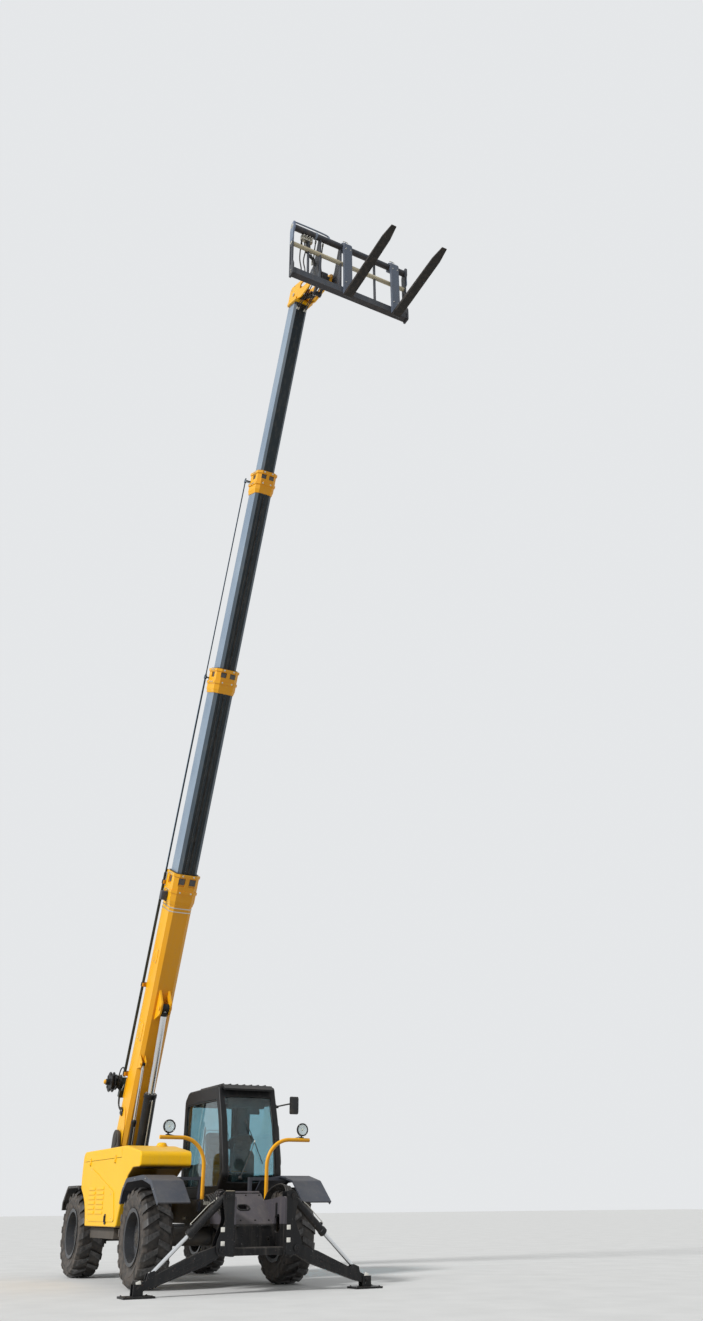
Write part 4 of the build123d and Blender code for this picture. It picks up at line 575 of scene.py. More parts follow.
# ------------------------------------------------------------------ shared mesh tools
def lathe(profile, sides=24):
    """Turn (radius, height) points about Z; ends at radius 0 are closed by one point."""
    points, faces, rings = [], [], []
    for radius, height in profile:
        if radius < 1e-6:
            rings.append([len(points)])
            points.append((0, 0, height))
        else:
            rings.append(list(range(len(points), len(points) + sides)))
            points += [(radius * c, radius * s, height) for c, s in clock(sides)]
    for low, high in zip(rings, rings[1:]):
        for k in range(sides):
            n = k + 1
            quad = [low[k % len(low)], low[n % len(low)], high[n % len(high)], high[k % len(high)]]
            faces.append(list(dict.fromkeys(quad)))
    if len(rings[0]) > 1 and len(rings[-1]) > 1 and profile[0] != profile[-1]:
        faces += [rings[0][::-1], rings[-1]]
    return points, faces


def prism(outline, low, high):
    """Extrude an outline in local X and Y from one height to another."""
    count = len(outline)
    points = [(x, y, z) for z in (low, high) for x, y in outline]
    faces = [list(range(count))[::-1], list(range(count, 2 * count))]
    faces += [[k, (k + 1) % count, (k + 1) % count + count, k + count] for k in range(count)]
    return points, faces


def slab(x, y, z, chamfer=0.0):
    """A plate about the local origin, its four long corners cut off."""
    a, b, c = x / 2, y / 2, chamfer
    if not c:
        return prism([(-a, -b), (a, -b), (a, b), (-a, b)], -z / 2, z / 2)
    corners = [
        (c - a, -b), (a - c, -b), (a, c - b), (a, b - c), (a - c, b), (c - a, b), (-a, b - c), (-a, c - b),
    ]
    return prism(corners, -z / 2, z / 2)


def plate(size, place, way, top=UP):
    """A slab of the given size, its thickness along the way and its length near the top direction."""
    return slab(*size), aim(place, way, top)


def turned(profile, place, way, sides=24):
    """A turned form that stands at a place along the way."""
    return lathe(profile, sides), aim(place, way)


def peg(radius, low, high, place, way, sides=24):
    """A round bar from one height to another along the way."""
    return turned([(0, low), (radius, low), (radius, high), (0, high)], place, way, sides)


def link(name, mesh, body=None):
    """Put a mesh in the scene, and on its body if it has one."""
    piece = bpy.data.objects.new(name, mesh)
    bpy.context.scene.collection.objects.link(piece)
    if body:
        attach(piece, body)
    return piece


def build(name, coat, body, shells, bevel=0.0, sharp=35):
    """Join placed shells into one piece, round its edges and give it its finish and body."""
    work = bmesh.new()
    for (points, faces), where in shells:
        made = [work.verts.new(where @ Vector(point)) for point in points]
        for face in faces:
            work.faces.new([made[k] for k in face])
    bmesh.ops.recalc_face_normals(work, faces=work.faces)
    if bevel:
        limit = math.radians(sharp)
        edges = [e for e in work.edges if len(e.link_faces) == 2 and e.calc_face_angle(0) > limit]
        bmesh.ops.bevel(
            work, geom=edges, offset=bevel, offset_type="OFFSET", segments=2, profile=0.6, affect="EDGES",
            clamp_overlap=True,
        )
    mesh = bpy.data.meshes.new(name)
    work.to_mesh(mesh)
    work.free()
    mesh.shade_smooth()
    mesh.set_sharp_from_angle(angle=math.radians(sharp))
    piece = link(name, mesh, body)
    dress(piece, FINISHES[coat])
    return piece


# ------------------------------------------------------------------ geometry node trees
def start_tree(name, sizes):
    """A geometry tree with named inputs: label, socket kind and the value it starts with."""
    tree = bpy.data.node_groups.new(name, "GeometryNodeTree")
    tree.interface.new_socket("Geometry", in_out="INPUT", socket_type="NodeSocketGeometry")
    tree.interface.new_socket("Geometry", in_out="OUTPUT", socket_type="NodeSocketGeometry")
    for label, kind, value in sizes:
        socket = tree.interface.new_socket(label, in_out="INPUT", socket_type=f"NodeSocket{kind}")
        if value is not None:
            socket.default_value = value
    return tree, tree.nodes.new("NodeGroupInput").outputs


def end_in_copies(tree, given, points, turn, **more):
    """Close a tree that sets copies of its unit on points: real mesh, then its finish."""
    shape = add(tree, "GeometryNodeObjectInfo", {"Object": given["Unit"]}).outputs["Geometry"]
    copies = add(
        tree, "GeometryNodeInstanceOnPoints", {"Points": points, "Instance": shape, "Rotation": turn, **more},
    )
    real = add(tree, "GeometryNodeRealizeInstances", {0: copies.outputs["Instances"]})
    painted = add(
        tree, "GeometryNodeSetMaterial", {"Geometry": real.outputs["Geometry"], "Material": given["Finish"]},
    )
    end_tree(tree, painted.outputs["Geometry"])


def end_tree(tree, geometry):
    """Hand the finished mesh to the tree's output."""
    output = tree.nodes.new("NodeGroupOutput")
    tree.links.new(geometry, output.inputs[0])


def fastener_tree():
    """Sets one unit on every point, its axis along the point's facing, turned at random about it."""
    tree, given = start_tree("set_on_points", [
        ("Unit", "Object", None), ("Finish", "Material", None), ("Random Turn", "Float", 3.1),
        ("Seed", "Int", 7),
    ])
    facing = add(tree, "GeometryNodeInputNamedAttribute", {"Name": "facing"}, data_type="FLOAT_VECTOR")
    size = add(tree, "GeometryNodeInputNamedAttribute", {"Name": "size"}, data_type="FLOAT")
    upright = add(
        tree, "FunctionNodeAlignRotationToVector", {"Vector": facing.outputs["Attribute"]}, axis="Z",
    )
    chance = add(
        tree, "FunctionNodeRandomValue", {"Max": given["Random Turn"], "Seed": given["Seed"]},
        data_type="FLOAT",
    )
    spin = add(tree, "ShaderNodeCombineXYZ", {"Z": chance.outputs[1]})
    about = add(tree, "FunctionNodeEulerToRotation", {0: spin.outputs["Vector"]})
    spun = add(tree, "FunctionNodeRotateRotation", {
        "Rotation": upright.outputs["Rotation"], "Rotate By": about.outputs["Rotation"],
    }, rotation_space="LOCAL")
    end_in_copies(tree, given, given["Geometry"], spun.outputs["Rotation"], Scale=size.outputs["Attribute"])
    return tree


def row_tree():
    """Repeats one unit in a straight row, each turned about the row by the same step."""
    tree, given = start_tree("row", [
        ("Unit", "Object", None), ("Finish", "Material", None), ("Count", "Int", 5),
        ("Start", "Vector", (0, 0, 0)), ("Pitch", "Vector", (0, 0, 0)), ("Turn Step", "Vector", (0, 0, 0)),
    ])
    line = add(tree, "GeometryNodeMeshLine", {
        "Count": given["Count"], "Start Location": given["Start"], "Offset": given["Pitch"],
    })
    number = add(tree, "GeometryNodeInputIndex")
    angle = add(tree, "ShaderNodeVectorMath", {
        0: given["Turn Step"], "Scale": number.outputs["Index"],
    }, operation="SCALE")
    about = add(tree, "FunctionNodeEulerToRotation", {0: angle.outputs["Vector"]})
    end_in_copies(tree, given, line.outputs["Mesh"], about.outputs["Rotation"])
    return tree


def ring_tree():
    """Repeats one unit round a wheel whose axle runs along Y, its own X pointing outward."""
    tree, given = start_tree("ring_on_wheel", [
        ("Unit", "Object", None), ("Finish", "Material", None), ("Count", "Int", 12),
        ("Centre", "Vector", (0, 0, 0)),
    ])
    line = add(tree, "GeometryNodeMeshLine", {
        "Count": given["Count"], "Start Location": given["Centre"], "Offset": (0, 0, 0),
    })
    number = add(tree, "GeometryNodeInputIndex")
    share = add(tree, "ShaderNodeMath", {0: number.outputs["Index"], 1: given["Count"]}, operation="DIVIDE")
    angle = add(tree, "ShaderNodeMath", {0: share.outputs["Value"], 1: math.tau}, operation="MULTIPLY")
    about = add(tree, "ShaderNodeCombineXYZ", {"Y": angle.outputs["Value"]})
    spun = add(tree, "FunctionNodeEulerToRotation", {0: about.outputs["Vector"]})
    end_in_copies(tree, given, line.outputs["Mesh"], spun.outputs["Rotation"])
    return tree


def hose_tree():
    """Sweeps a round hose along each run of edges and crimps a metal ferrule on each end."""
    tree, given = start_tree("hose_along_path", [
        ("Radius", "Float", 0.01), ("Sides", "Int", 10), ("Smoothness", "Int", 8), ("Ferrule", "Float", 1.4),
        ("Finish", "Material", None), ("Metal", "Material", None),
    ])
    curve = add(tree, "GeometryNodeMeshToCurve", {"Mesh": given["Geometry"]})
    smooth = add(
        tree, "GeometryNodeCurveSplineType", {"Curve": curve.outputs["Curve"]}, spline_type="CATMULL_ROM",
    )
    fine = add(tree, "GeometryNodeSetSplineResolution", {
        "Geometry": smooth.outputs["Curve"], "Resolution": given["Smoothness"],
    })
    section = add(
        tree, "GeometryNodeCurvePrimitiveCircle", {"Resolution": given["Sides"], "Radius": given["Radius"]},
    )
    hose = add(tree, "GeometryNodeCurveToMesh", {
        "Curve": fine.outputs["Geometry"], "Profile Curve": section.outputs["Curve"], "Fill Caps": True,
    })
    painted = add(
        tree, "GeometryNodeSetMaterial", {"Geometry": hose.outputs["Mesh"], "Material": given["Finish"]},
    )
    line = add(tree, "GeometryNodeResampleCurve", {"Curve": fine.outputs["Geometry"]}, mode="EVALUATED")
    ends = add(tree, "GeometryNodeCurveEndpointSelection")
    tangent = add(tree, "GeometryNodeInputTangent")
    upright = add(tree, "FunctionNodeAlignRotationToVector", {"Vector": tangent.outputs["Tangent"]}, axis="Z")
    wide = add(tree, "ShaderNodeMath", {0: given["Radius"], 1: given["Ferrule"]}, operation="MULTIPLY")
    deep = add(tree, "ShaderNodeMath", {0: given["Radius"], 1: 5.0}, operation="MULTIPLY")
    sleeve = add(tree, "GeometryNodeMeshCylinder", {
        "Vertices": 12, "Radius": wide.outputs["Value"], "Depth": deep.outputs["Value"],
    })
    crimps = add(tree, "GeometryNodeInstanceOnPoints", {
        "Points": line.outputs["Curve"], "Selection": ends.outputs["Selection"],
        "Instance": sleeve.outputs["Mesh"], "Rotation": upright.outputs["Rotation"],
    })
    plated = add(
        tree, "GeometryNodeSetMaterial",
        {"Geometry": crimps.outputs["Instances"], "Material": given["Metal"]},
    )
    both = tree.nodes.new("GeometryNodeJoinGeometry")
    for part in (plated.outputs["Geometry"], painted.outputs["Geometry"]):
        tree.links.new(part, both.inputs["Geometry"])
    real = add(tree, "GeometryNodeRealizeInstances", {0: both.outputs["Geometry"]})
    end_tree(tree, real.outputs["Geometry"])
    return tree


TREES = {"set": fastener_tree(), "row": row_tree(), "ring": ring_tree(), "hose": hose_tree()}
# A ferrule no wider than this share of its hose isn't meant to be seen, and is drawn inside the hose.
LEAST_FERRULE, HIDDEN_FERRULE = 1.25, 0.9
UNITS = []
HOME = Matrix.Identity(4)


def grow(name, body, kind, base, coat, **sizes):
    """Run a tree on a base mesh and keep the result as a plain mesh piece on its body."""
    tree = TREES[kind]
    keys = {
        item.name: item.identifier for item in tree.interface.items_tree
        if item.item_type == "SOCKET" and item.in_out == "INPUT"
    }
    holder = link(name + "_base", base)
    modifier = holder.modifiers.new("grow", "NODES")
    modifier.node_group = tree
    modifier[keys["Finish"]] = FINISHES[coat]
    if "Metal" in keys:
        modifier[keys["Metal"]] = FINISHES["zinc_plate" if sizes["Ferrule"] > LEAST_FERRULE else coat]
    for label, value in sizes.items():
        modifier[keys[label]] = value
    bpy.context.view_layer.update()
    graph = bpy.context.evaluated_depsgraph_get()
    mesh = bpy.data.meshes.new_from_object(holder.evaluated_get(graph), depsgraph=graph)
    holder.modifiers.remove(modifier)
    bpy.data.objects.remove(holder)
    mesh.shade_smooth()
    mesh.set_sharp_from_angle(angle=math.radians(35))
    piece = link(name, mesh, body)
    return piece


def unit(name, shells, bevel=0.0):
    """A small part that a tree repeats; it is removed again once all its copies are made."""
    made = build(name + "_unit", "zinc_plate", None, shells, bevel)
    made.hide_render = True
    UNITS.append(made)
    return made


def row(name, body, coat, shape, count, start, pitch):
    """A straight row of one unit."""
    base = bpy.data.meshes.new(name)
    return grow(
        name, body, "row", base, coat, Unit=shape, Count=count, Start=tuple(start), Pitch=tuple(pitch),
    )


def set_points(name, body, points, seed, coat="zinc_plate", shape=None):
    """Bolts, or another unit: each point gives its place, facing and size."""
    mesh = bpy.data.meshes.new(name)
    mesh.from_pydata([place for place, _, _ in points], [], [])
    facing = mesh.attributes.new("facing", "FLOAT_VECTOR", "POINT")
    for held, (_, way, _) in zip(facing.data, points):
        held.vector = Vector(way).normalized()
    size = mesh.attributes.new("size", "FLOAT", "POINT")
    for held, (_, _, scale) in zip(size.data, points):
        held.value = scale
    return grow(name, body, "set", mesh, coat, Unit=shape or BOLT, Seed=seed)


def hoses(name, body, radius, runs, coat="hose_rubber", ferrule=1.5, smoothness=8, sides=10):
    """Hoses or pipes, one run of points for each; a ferrule's width is a share of its hose's."""
    points, edges = [], []
    for run in runs:
        first = len(points)
        points += [tuple(p) for p in run]
        edges += [(k, k + 1) for k in range(first, len(points) - 1)]
    mesh = bpy.data.meshes.new(name)
    mesh.from_pydata(points, edges, [])
    if ferrule <= LEAST_FERRULE:
        ferrule = HIDDEN_FERRULE
    return grow(
        name, body, "hose", mesh, coat, Radius=radius, Ferrule=ferrule, Smoothness=smoothness, Sides=sides,
    )


# ------------------------------------------------------------------ small parts that repeat
def hexagon(across, low, high):
    """A six-sided bar about Z, by its width across corners."""
    return prism([(across / 2 * c, across / 2 * s) for c, s in clock(6)], low, high)


def make_units():
    """Bolt head on its washer, wheel nut with its stud, and pin cap, each 1 unit in size."""
    washer = lathe([(0, 0), (0.62, 0), (0.62, 0.08), (0.55, 0.12), (0, 0.12)], 16)
    point = lathe([(0, 0.40), (0.36, 0.40), (0.30, 0.48), (0, 0.48)], 12)
    bolt = unit("hex_bolt", [(washer, HOME), (hexagon(1.0, 0.11, 0.42), HOME), (point, HOME)])
    cone = lathe([(0, 0), (0.66, 0), (0.66, 0.10), (0.5, 0.26), (0, 0.26)], 16)
    stud = lathe([(0, 0.74), (0.30, 0.74), (0.28, 0.98), (0, 1.0)], 12)
    nut = unit("wheel_nut", [(cone, HOME), (hexagon(1.0, 0.24, 0.75), HOME), (stud, HOME)])
    disc = lathe([(0, 0), (1.0, 0), (1.0, 0.14), (0.9, 0.2), (0.5, 0.2), (0.46, 0.12), (0, 0.12)], 24)
    cap = unit("pin_cap", [(disc, HOME), (hexagon(0.42, 0.11, 0.34), HOME)])
    return bolt, nut, cap


BOLT, NUT, CAP = make_units()

# ------------------------------------------------------------------ wheels
LOCK_RING = [
    (0.296, 0.176), (0.330, 0.174), (0.337, 0.180), (0.337, 0.188), (0.326, 0.192), (0.312, 0.186),
    (0.296, 0.184), (0.296, 0.176),
]
PLANET_COVER = [
    (0, 0.118), (0.030, 0.118), (0.034, 0.112), (0.090, 0.112), (0.106, 0.108), (0.142, 0.078),
    (0.151, 0.070), (0.158, 0.034), (0.158, 0.028), (0.150, 0.027), (0, 0.027),
]
NUT_CIRCLE, COVER_CIRCLE, CAP_CIRCLE = 0.183, 0.128, 0.072
SIDE_BANDS = ((0.352, 0.1755, 0.007), (0.372, 0.181, 0.004), (0.452, 0.2015, 0.006), (0.520, 0.1905, 0.004))
RIB_CIRCLE, RIB_REACH, RIB_COUNT = 0.497, 0.187, 72
VALVE_STEM = [(0, 0), (0.007, 0), (0.007, 0.03), (0.005, 0.034), (0.005, 0.062), (0, 0.064)]


def make_rim(corner, body, hub, outward):
    """Lock rings, the planet cover with its bolts, the wheel nuts and the tyre valve."""
    front = aim(hub, outward)
    rings = [(lathe(LOCK_RING, 48), front), (lathe(LOCK_RING, 48), aim(hub, -outward))]
    build(f"rim_lock_ring_{corner}", "black_wheel_enamel", body, rings, 0.0, 50)
    build(f"planet_cover_{corner}", "cast_iron_black", body, [(lathe(PLANET_COVER, 40), front)], 0.0, 40)
    spokes = [Vector((c, 0, s)) for c, s in clock(12, 0.5)]
    nuts = [(hub + spoke * NUT_CIRCLE + outward * 0.026, outward, 0.030) for spoke in spokes]
    bolts = []
    for c, s in clock(8):
        spoke = Vector((c, 0, s))
        bolts.append((hub + spoke * COVER_CIRCLE + outward * 0.089, outward * 0.75 + spoke * 0.66, 0.018))
        bolts.append((hub + spoke * CAP_CIRCLE + outward * 0.112, outward, 0.014))
    set_points(f"wheel_nuts_{corner}", body, nuts, 3, shape=NUT)
    set_points(f"planet_bolts_{corner}", body, bolts, 5, "cast_iron_black")
    stem = turned(
        VALVE_STEM, hub + Vector((0.262, 0, 0.05)) + outward * 0.05, outward + Vector((-0.3, 0, 0)), 10,
    )
    build(f"tyre_valve_{corner}", "zinc_plate", body, [stem])


def make_tyre(corner, body, hub, outward, rib):
    """Raised bands and radial ribs on both sidewalls, in the tyre's own compound."""
    compound = NODES[f"tyre_{corner}"].material_slots[0].material
    rings = []
    for radius, reach, wide in SIDE_BANDS:
        foot, crown = reach - 0.006, reach + wide * 0.5
        band = [
            (radius - wide, foot), (radius - wide * 0.5, crown), (radius + wide * 0.5, crown),
            (radius + wide, foot), (radius - wide, foot),
        ]
        rings += [(lathe(band, 64), aim(hub, way)) for way in (outward, -outward)]
    dress(build(f"tyre_bands_{corner}", "seal_rubber", body, rings, 0.0, 50), compound)
    for number, reach in enumerate((RIB_REACH, -RIB_REACH)):
        ribs = grow(
            f"tyre_ribs_{number}_{corner}", body, "ring", bpy.data.meshes.new("ribs"), "seal_rubber",
            Unit=rib, Count=RIB_COUNT, Centre=tuple(hub + outward * reach),
        )
        dress(ribs, compound)


def make_wheels():
    """Rim and tyre fittings at the four corners."""
    rib = unit("sidewall_rib", [(slab(0.050, 0.006, 0.012), Matrix.Translation((RIB_CIRCLE, 0, 0)))])
    for end, side, out in CORNERS:
        corner, body = f"{end}_{side}", f"wheel_{end}_{side}"
        hub = Vector(JOINT[f"{end}_wheel_{side}"]["pos_m"])
        outward = Vector((0, out, 0))
        make_rim(corner, body, hub, outward)
        make_tyre(corner, body, hub, outward, rib)


# ------------------------------------------------------------------ boom
SECTION_W = (0.390, 0.345, 0.300, 0.255)
SECTION_H = (0.480, 0.430, 0.380, 0.330)
COLLAR_AT = (4.225, 7.856, 11.487)
COLLAR_LEN = (0.52, 0.42, 0.40)
COLLAR_WALL = 0.038
HEAD_AT = 15.118
BEND = 0.062
CHAIN_PITCH = 0.0254
BOOM_BODY = ("boom_1", "boom_2", "boom_3", "boom_4")


def boom_section(index, grown):
    """Section outline as (out, above) pairs, its two lower edges bent in."""
    w, h = SECTION_W[index] / 2 + grown, SECTION_H[index] / 2 + grown
    bend = BEND * SECTION_W[index] / SECTION_W[0] + grown * (2 - math.sqrt(2))
    return [(-w, h), (w, h), (w, bend - h), (w - bend, -h), (bend - w, -h), (-w, bend - h)]


def boom_axes(along):
    """Axes whose X is out, Y is above and Z runs along the boom."""
    turn = Matrix((Vector(LEFT), ABOVE, ALONG)).transposed().to_4x4()
    return Matrix.Translation(on_boom(along, 0)) @ turn


def band_round_boom(index, inner, outer, low, high, open_below=False):
    """A band round one section, between two distances off its skin; open below where the chain passes."""
    order = [4, 5, 0, 1, 2, 3]
    near = [boom_section(index, inner)[k] for k in order]
    far = [boom_section(index, outer)[k] for k in order]
    count = len(order)
    points = [(x, y, z) for z in (low, high) for ring in (near, far) for x, y in ring]
    faces = []
    for k in range(count - 1 if open_below else count):
        n = (k + 1) % count
        faces += [
            [k, n, n + count, k + count], [k + 2 * count, k + 3 * count, n + 3 * count, n + 2 * count],
            [k, k + 2 * count, n + 2 * count, n], [k + count, n + count, n + 3 * count, k + 3 * count],
        ]
    if open_below:
        faces += [[k, k + count, k + 3 * count, k + 2 * count] for k in (0, count - 1)]
    return points, faces


def leaf_chain_link():
    """Two plates to each side, one step apart, on a rivet."""
    plates = []
    half = [(-0.014, -0.005), (-0.009, -0.0065), (0.009, -0.0065), (0.014, -0.005)]
    eight = half + [(-x, -y) for x, y in half]
    for side in (-1, 1):
        for step, gap in ((0, 0.0035), (1, 0.0085)):
            where = Matrix.Translation(
                ALONG * (CHAIN_PITCH / 2 * step)
            ) @ aim((0, side * gap, 0), LEFT, ALONG)
            plates.append((prism(eight, -0.002, 0.002), where))
    return unit("leaf_chain_link", plates + [peg(0.0035, -0.011, 0.011, (0, 0, 0), LEFT, 8)])


def make_chains():
    """An extension chain and two hoses below each middle section."""
    chain_link = leaf_chain_link()
    for index in (1, 2):
        start = COLLAR_AT[index - 1] + COLLAR_LEN[index - 1] / 2 + 0.02
        stop = COLLAR_AT[index] - COLLAR_LEN[index] / 2 - 0.03
        under = -SECTION_H[index] / 2
        row(
            f"extension_chain_{index + 1}", BOOM_BODY[index], "oily_chain_steel", chain_link,
            int((stop - start) / CHAIN_PITCH), on_boom(start, under - 0.0078), ALONG * CHAIN_PITCH,
        )
        runs = []
        for out in (-0.0665, 0.0665):
            beside = out * SECTION_W[index] / SECTION_W[1]
            runs.append([on_boom(start + (stop - start) * k / 4, under - 0.0075, beside) for k in range(5)])
        hoses(f"extension_hoses_{index + 1}", BOOM_BODY[index], 0.0055, runs, "hose_rubber", 1.0, 2, 8)


def make_collar(index, centre, length):
    """Scraper, weld bead, bolts and slide pads of one collar."""
    half, body = length / 2, BOOM_BODY[index]
    w, h = SECTION_W[index] / 2, SECTION_H[index] / 2
    mouth = boom_axes(centre + half)
    seal = band_round_boom(index + 1, 0.0015, 0.021, 0, 0.012, True)
    plate_ring = band_round_boom(index + 1, 0.010, 0.030, 0.011, 0.017, True)
    build(f"collar_scraper_{index + 1}", "seal_rubber", body, [(seal, mouth)], 0.0015)
    build(f"collar_scraper_plate_{index + 1}", "dark_grey_enamel", body, [(plate_ring, mouth)], 0.0015)
    bead = [on_boom(centre - half - 0.002, y, x) for x, y in boom_section(index, 0.002)]
    bead = [bead[-1]] + bead
    runs = [[a, (a + b) / 2, b] for a, b in zip(bead, bead[1:])]
    hoses(f"collar_weld_{index + 1}", body, 0.006, runs, "yellow_enamel", 0.9, 1, 6)
    bolts = []
    for along in (centre + half - 0.023, centre - half * 0.25 + 0.023):
        for above in (-0.30, 0.05, 0.38):
            for out in (-1, 1):
                bolts.append((on_boom(along, above * h, out * (w + COLLAR_WALL)), (0, out, 0), 0.024))
        for out in (-0.5, 0.5):
            bolts.append((on_boom(along, -h - COLLAR_WALL, out * w), -ABOVE, 0.024))
            bolts.append((on_boom(along, h + COLLAR_WALL, out * w), ABOVE, 0.024))
    set_points(f"collar_bolts_{index + 1}", body, bolts, 11)
    inner = boom_axes(centre + half - 0.12)
    pads = []
    for out in (-1, 1):
        pads.append(
            (slab(0.012, h * 0.26, 0.10), inner @ Matrix.Translation((out * (w + 0.014), h * 0.05, 0)))
        )
    for out in (-0.48, 0.48):
        pads.append((slab(w * 0.52, 0.012, 0.10), inner @ Matrix.Translation((out * w, -h - 0.010, 0))))
    build(f"slide_pads_{index + 1}", "grey_moulding", body, pads, 0.002)


def make_boom():
    """Chains, collars, the outer part's fittings and the hose reel."""
    make_chains()
    for index, (centre, length) in enumerate(zip(COLLAR_AT, COLLAR_LEN)):
        make_collar(index, centre, length)
    make_boom_base()
    make_reel()


BASE_W, BASE_H = SECTION_W[0] / 2, SECTION_H[0] / 2
REEL_ALONG, REEL_ABOVE = 0.76, 0.52
TUBE_OUT = -0.25
CLIP_PLACES = (1.4, 2.0, 2.6, 3.2, 3.8)


def make_boom_base():
    """Covers, pipes, straps and the junction block on the outer boom part."""
    covers, screws = [], []
    for along, above, long, tall in ((1.78, 0.02, 0.30, 0.20), (3.05, 0.02, 0.24, 0.18)):
        for out in (-1, 1):
            way = (0, out, 0)
            covers.append(
                plate((long, tall, 0.006, 0.02), on_boom(along, above, out * (BASE_W + 0.003)), way, ALONG)
            )
            for a in (long / 2 - 0.022, 0.022 - long / 2):
                for b in (tall / 2 - 0.022, 0.022 - tall / 2):
                    screws.append((on_boom(along - a, above - b, out * (BASE_W + 0.006)), way, 0.014))
    build("boom_inspection_covers", "yellow_enamel", "boom_1", covers, 0.002)
    set_points("boom_cover_screws", "boom_1", screws, 4)
    pipes = []
    for k, out in enumerate((-0.10, -0.07)):
        pipes.append(boom_path(
            (0.62, BASE_H + 0.14 - k * 0.02, -BASE_W - 0.035), (0.9, BASE_H + 0.05, -BASE_W + 0.02),
            (1.2, BASE_H + 0.014, out), (2.4, BASE_H + 0.014, out), (3.94, BASE_H + 0.014, out),
        ))
    hoses("boom_top_pipes", "boom_1", 0.010, pipes, "zinc_plate")
    clips = [
        plate((0.10, 0.03, 0.022, 0.008), on_boom(a, BASE_H + 0.013, -0.085), ABOVE, LEFT)
        for a in CLIP_PLACES
    ]
    build("boom_pipe_clips", "black_moulding", "boom_1", clips, 0.003)
    screws = [(on_boom(a, BASE_H + 0.024, -0.085), ABOVE, 0.014) for a in CLIP_PLACES]
    set_points("boom_clip_screws", "boom_1", screws, 2)
    build("collar_junction_block", "dark_grey_enamel", "boom_1", [
        plate((0.15, 0.12, 0.10, 0.015), on_boom(4.07, 0.03, -BASE_W - 0.085), RIGHT, ALONG),
        plate((0.19, 0.03, 0.018, 0.004), on_boom(4.07, 0.03, -BASE_W - 0.034), RIGHT, ALONG),
    ], 0.003)
    strap = band_round_boom(0, 0.0005, 0.005, 0, 0.016)
    build(
        "base_strap", "zinc_plate", "boom_1", [(strap, boom_axes(along)) for along in (3.905, 3.845)], 0.001,
    )


def reel_place(beside):
    """A place on the reel's axle, by how far it stands off the boom's side."""
    return on_boom(REEL_ALONG, REEL_ABOVE, -BASE_W - beside)


def make_reel():
    """Coiled hose between the bracket and the outer drum, feed hoses, bulkhead and valve stems."""
    turns, wide = 24, 0.055
    coil = []
    for k in range(61):
        a, layer, share = math.tau * k / 12, k // turns, (k % turns) / turns
        beside = 0.020 - wide * share if layer % 2 == 0 else 0.020 - wide + wide * share
        radius = 0.086 + 0.004 * layer
        round_axle = ALONG * (radius * math.cos(a)) + ABOVE * (radius * math.sin(a))
        coil.append(reel_place(0.05) + Vector((0, beside, 0)) + round_axle)
    hoses("reel_hose", "boom_1", 0.0105, [coil], "hose_rubber", 1.0, 3, 8)
    drum = [
        (0, 0.166), (0.037, 0.165), (0.049, 0.157), (0.054, 0.102), (0.108, 0.101), (0.160, 0.097),
        (0.162, 0.090), (0.113, 0.087), (0.111, 0.041), (0.160, 0.038), (0.162, 0.031), (0.074, 0.027),
        (0.062, 0.0), (0, 0.0),
    ]
    build("reel_outer_drum", "black_enamel", "boom_1", [turned(drum, reel_place(0.115), RIGHT, 32)], 0.0, 40)
    dome = [(0, 0.030), (0.026, 0.028), (0.036, 0.018), (0.038, 0.0), (0, 0.0)]
    build("reel_end_cap", "yellow_enamel", "boom_1", [turned(dome, reel_place(0.279), RIGHT, 20)], 0.0, 40)
    caps = [
        (reel_place(0.2155) + ALONG * (0.128 * c) + ABOVE * (0.128 * s), RIGHT, 0.030)
        for c, s in clock(5)
    ]
    set_points("reel_drum_caps", "boom_1", caps, 8, "black_enamel", CAP)
    feed = [
        boom_path(
            (0.85, 0.52, -BASE_W - 0.07), (1.0, 0.46, -BASE_W - 0.07), (1.06, 0.36, -BASE_W - 0.06),
            (1.0, 0.28, TUBE_OUT),
        ),
        boom_path(
            (0.60, BASE_H + 0.10, -BASE_W - 0.05), (0.50, BASE_H + 0.05, -BASE_W - 0.05),
            (0.44, BASE_H - 0.02, -BASE_W - 0.040), (0.40, BASE_H - 0.08, -BASE_W - 0.010),
        ),
        boom_path(
            (0.62, BASE_H + 0.07, -BASE_W - 0.05), (0.48, BASE_H, -BASE_W - 0.05),
            (0.46, BASE_H - 0.08, -BASE_W - 0.040), (0.43, BASE_H - 0.15, -BASE_W - 0.010),
        ),
        boom_path(
            (0.66, BASE_H + 0.13, -BASE_W - 0.02), (0.68, BASE_H + 0.20, -BASE_W - 0.05),
            (0.73, 0.46, -BASE_W - 0.10), (0.74, 0.50, -BASE_W - 0.135),
        ),
    ]
    hoses("reel_feed_hoses", "boom_1", 0.011, feed)
    bulkhead = plate(
        (0.11, 0.13, 0.030, 0.012), on_boom(0.415, BASE_H - 0.115, -BASE_W - 0.015), RIGHT, ALONG,
    )
    build("reel_bulkhead", "black_enamel", "boom_1", [bulkhead], 0.003)
    stem = [(0, 0), (0.010, 0), (0.010, 0.018), (0.007, 0.022), (0.007, 0.034), (0, 0.036)]
    places = [on_boom(0.60 + 0.028 * k, BASE_H + 0.13, -BASE_W - 0.03) for k in range(4)]
    build("reel_valve_stems", "zinc_plate", "boom_1", [turned(stem, place, ABOVE, 10) for place in places])


# ------------------------------------------------------------------ boom head and carriage
HEAD_SIDE = SECTION_W[3] / 2 + 0.0003 + 0.022


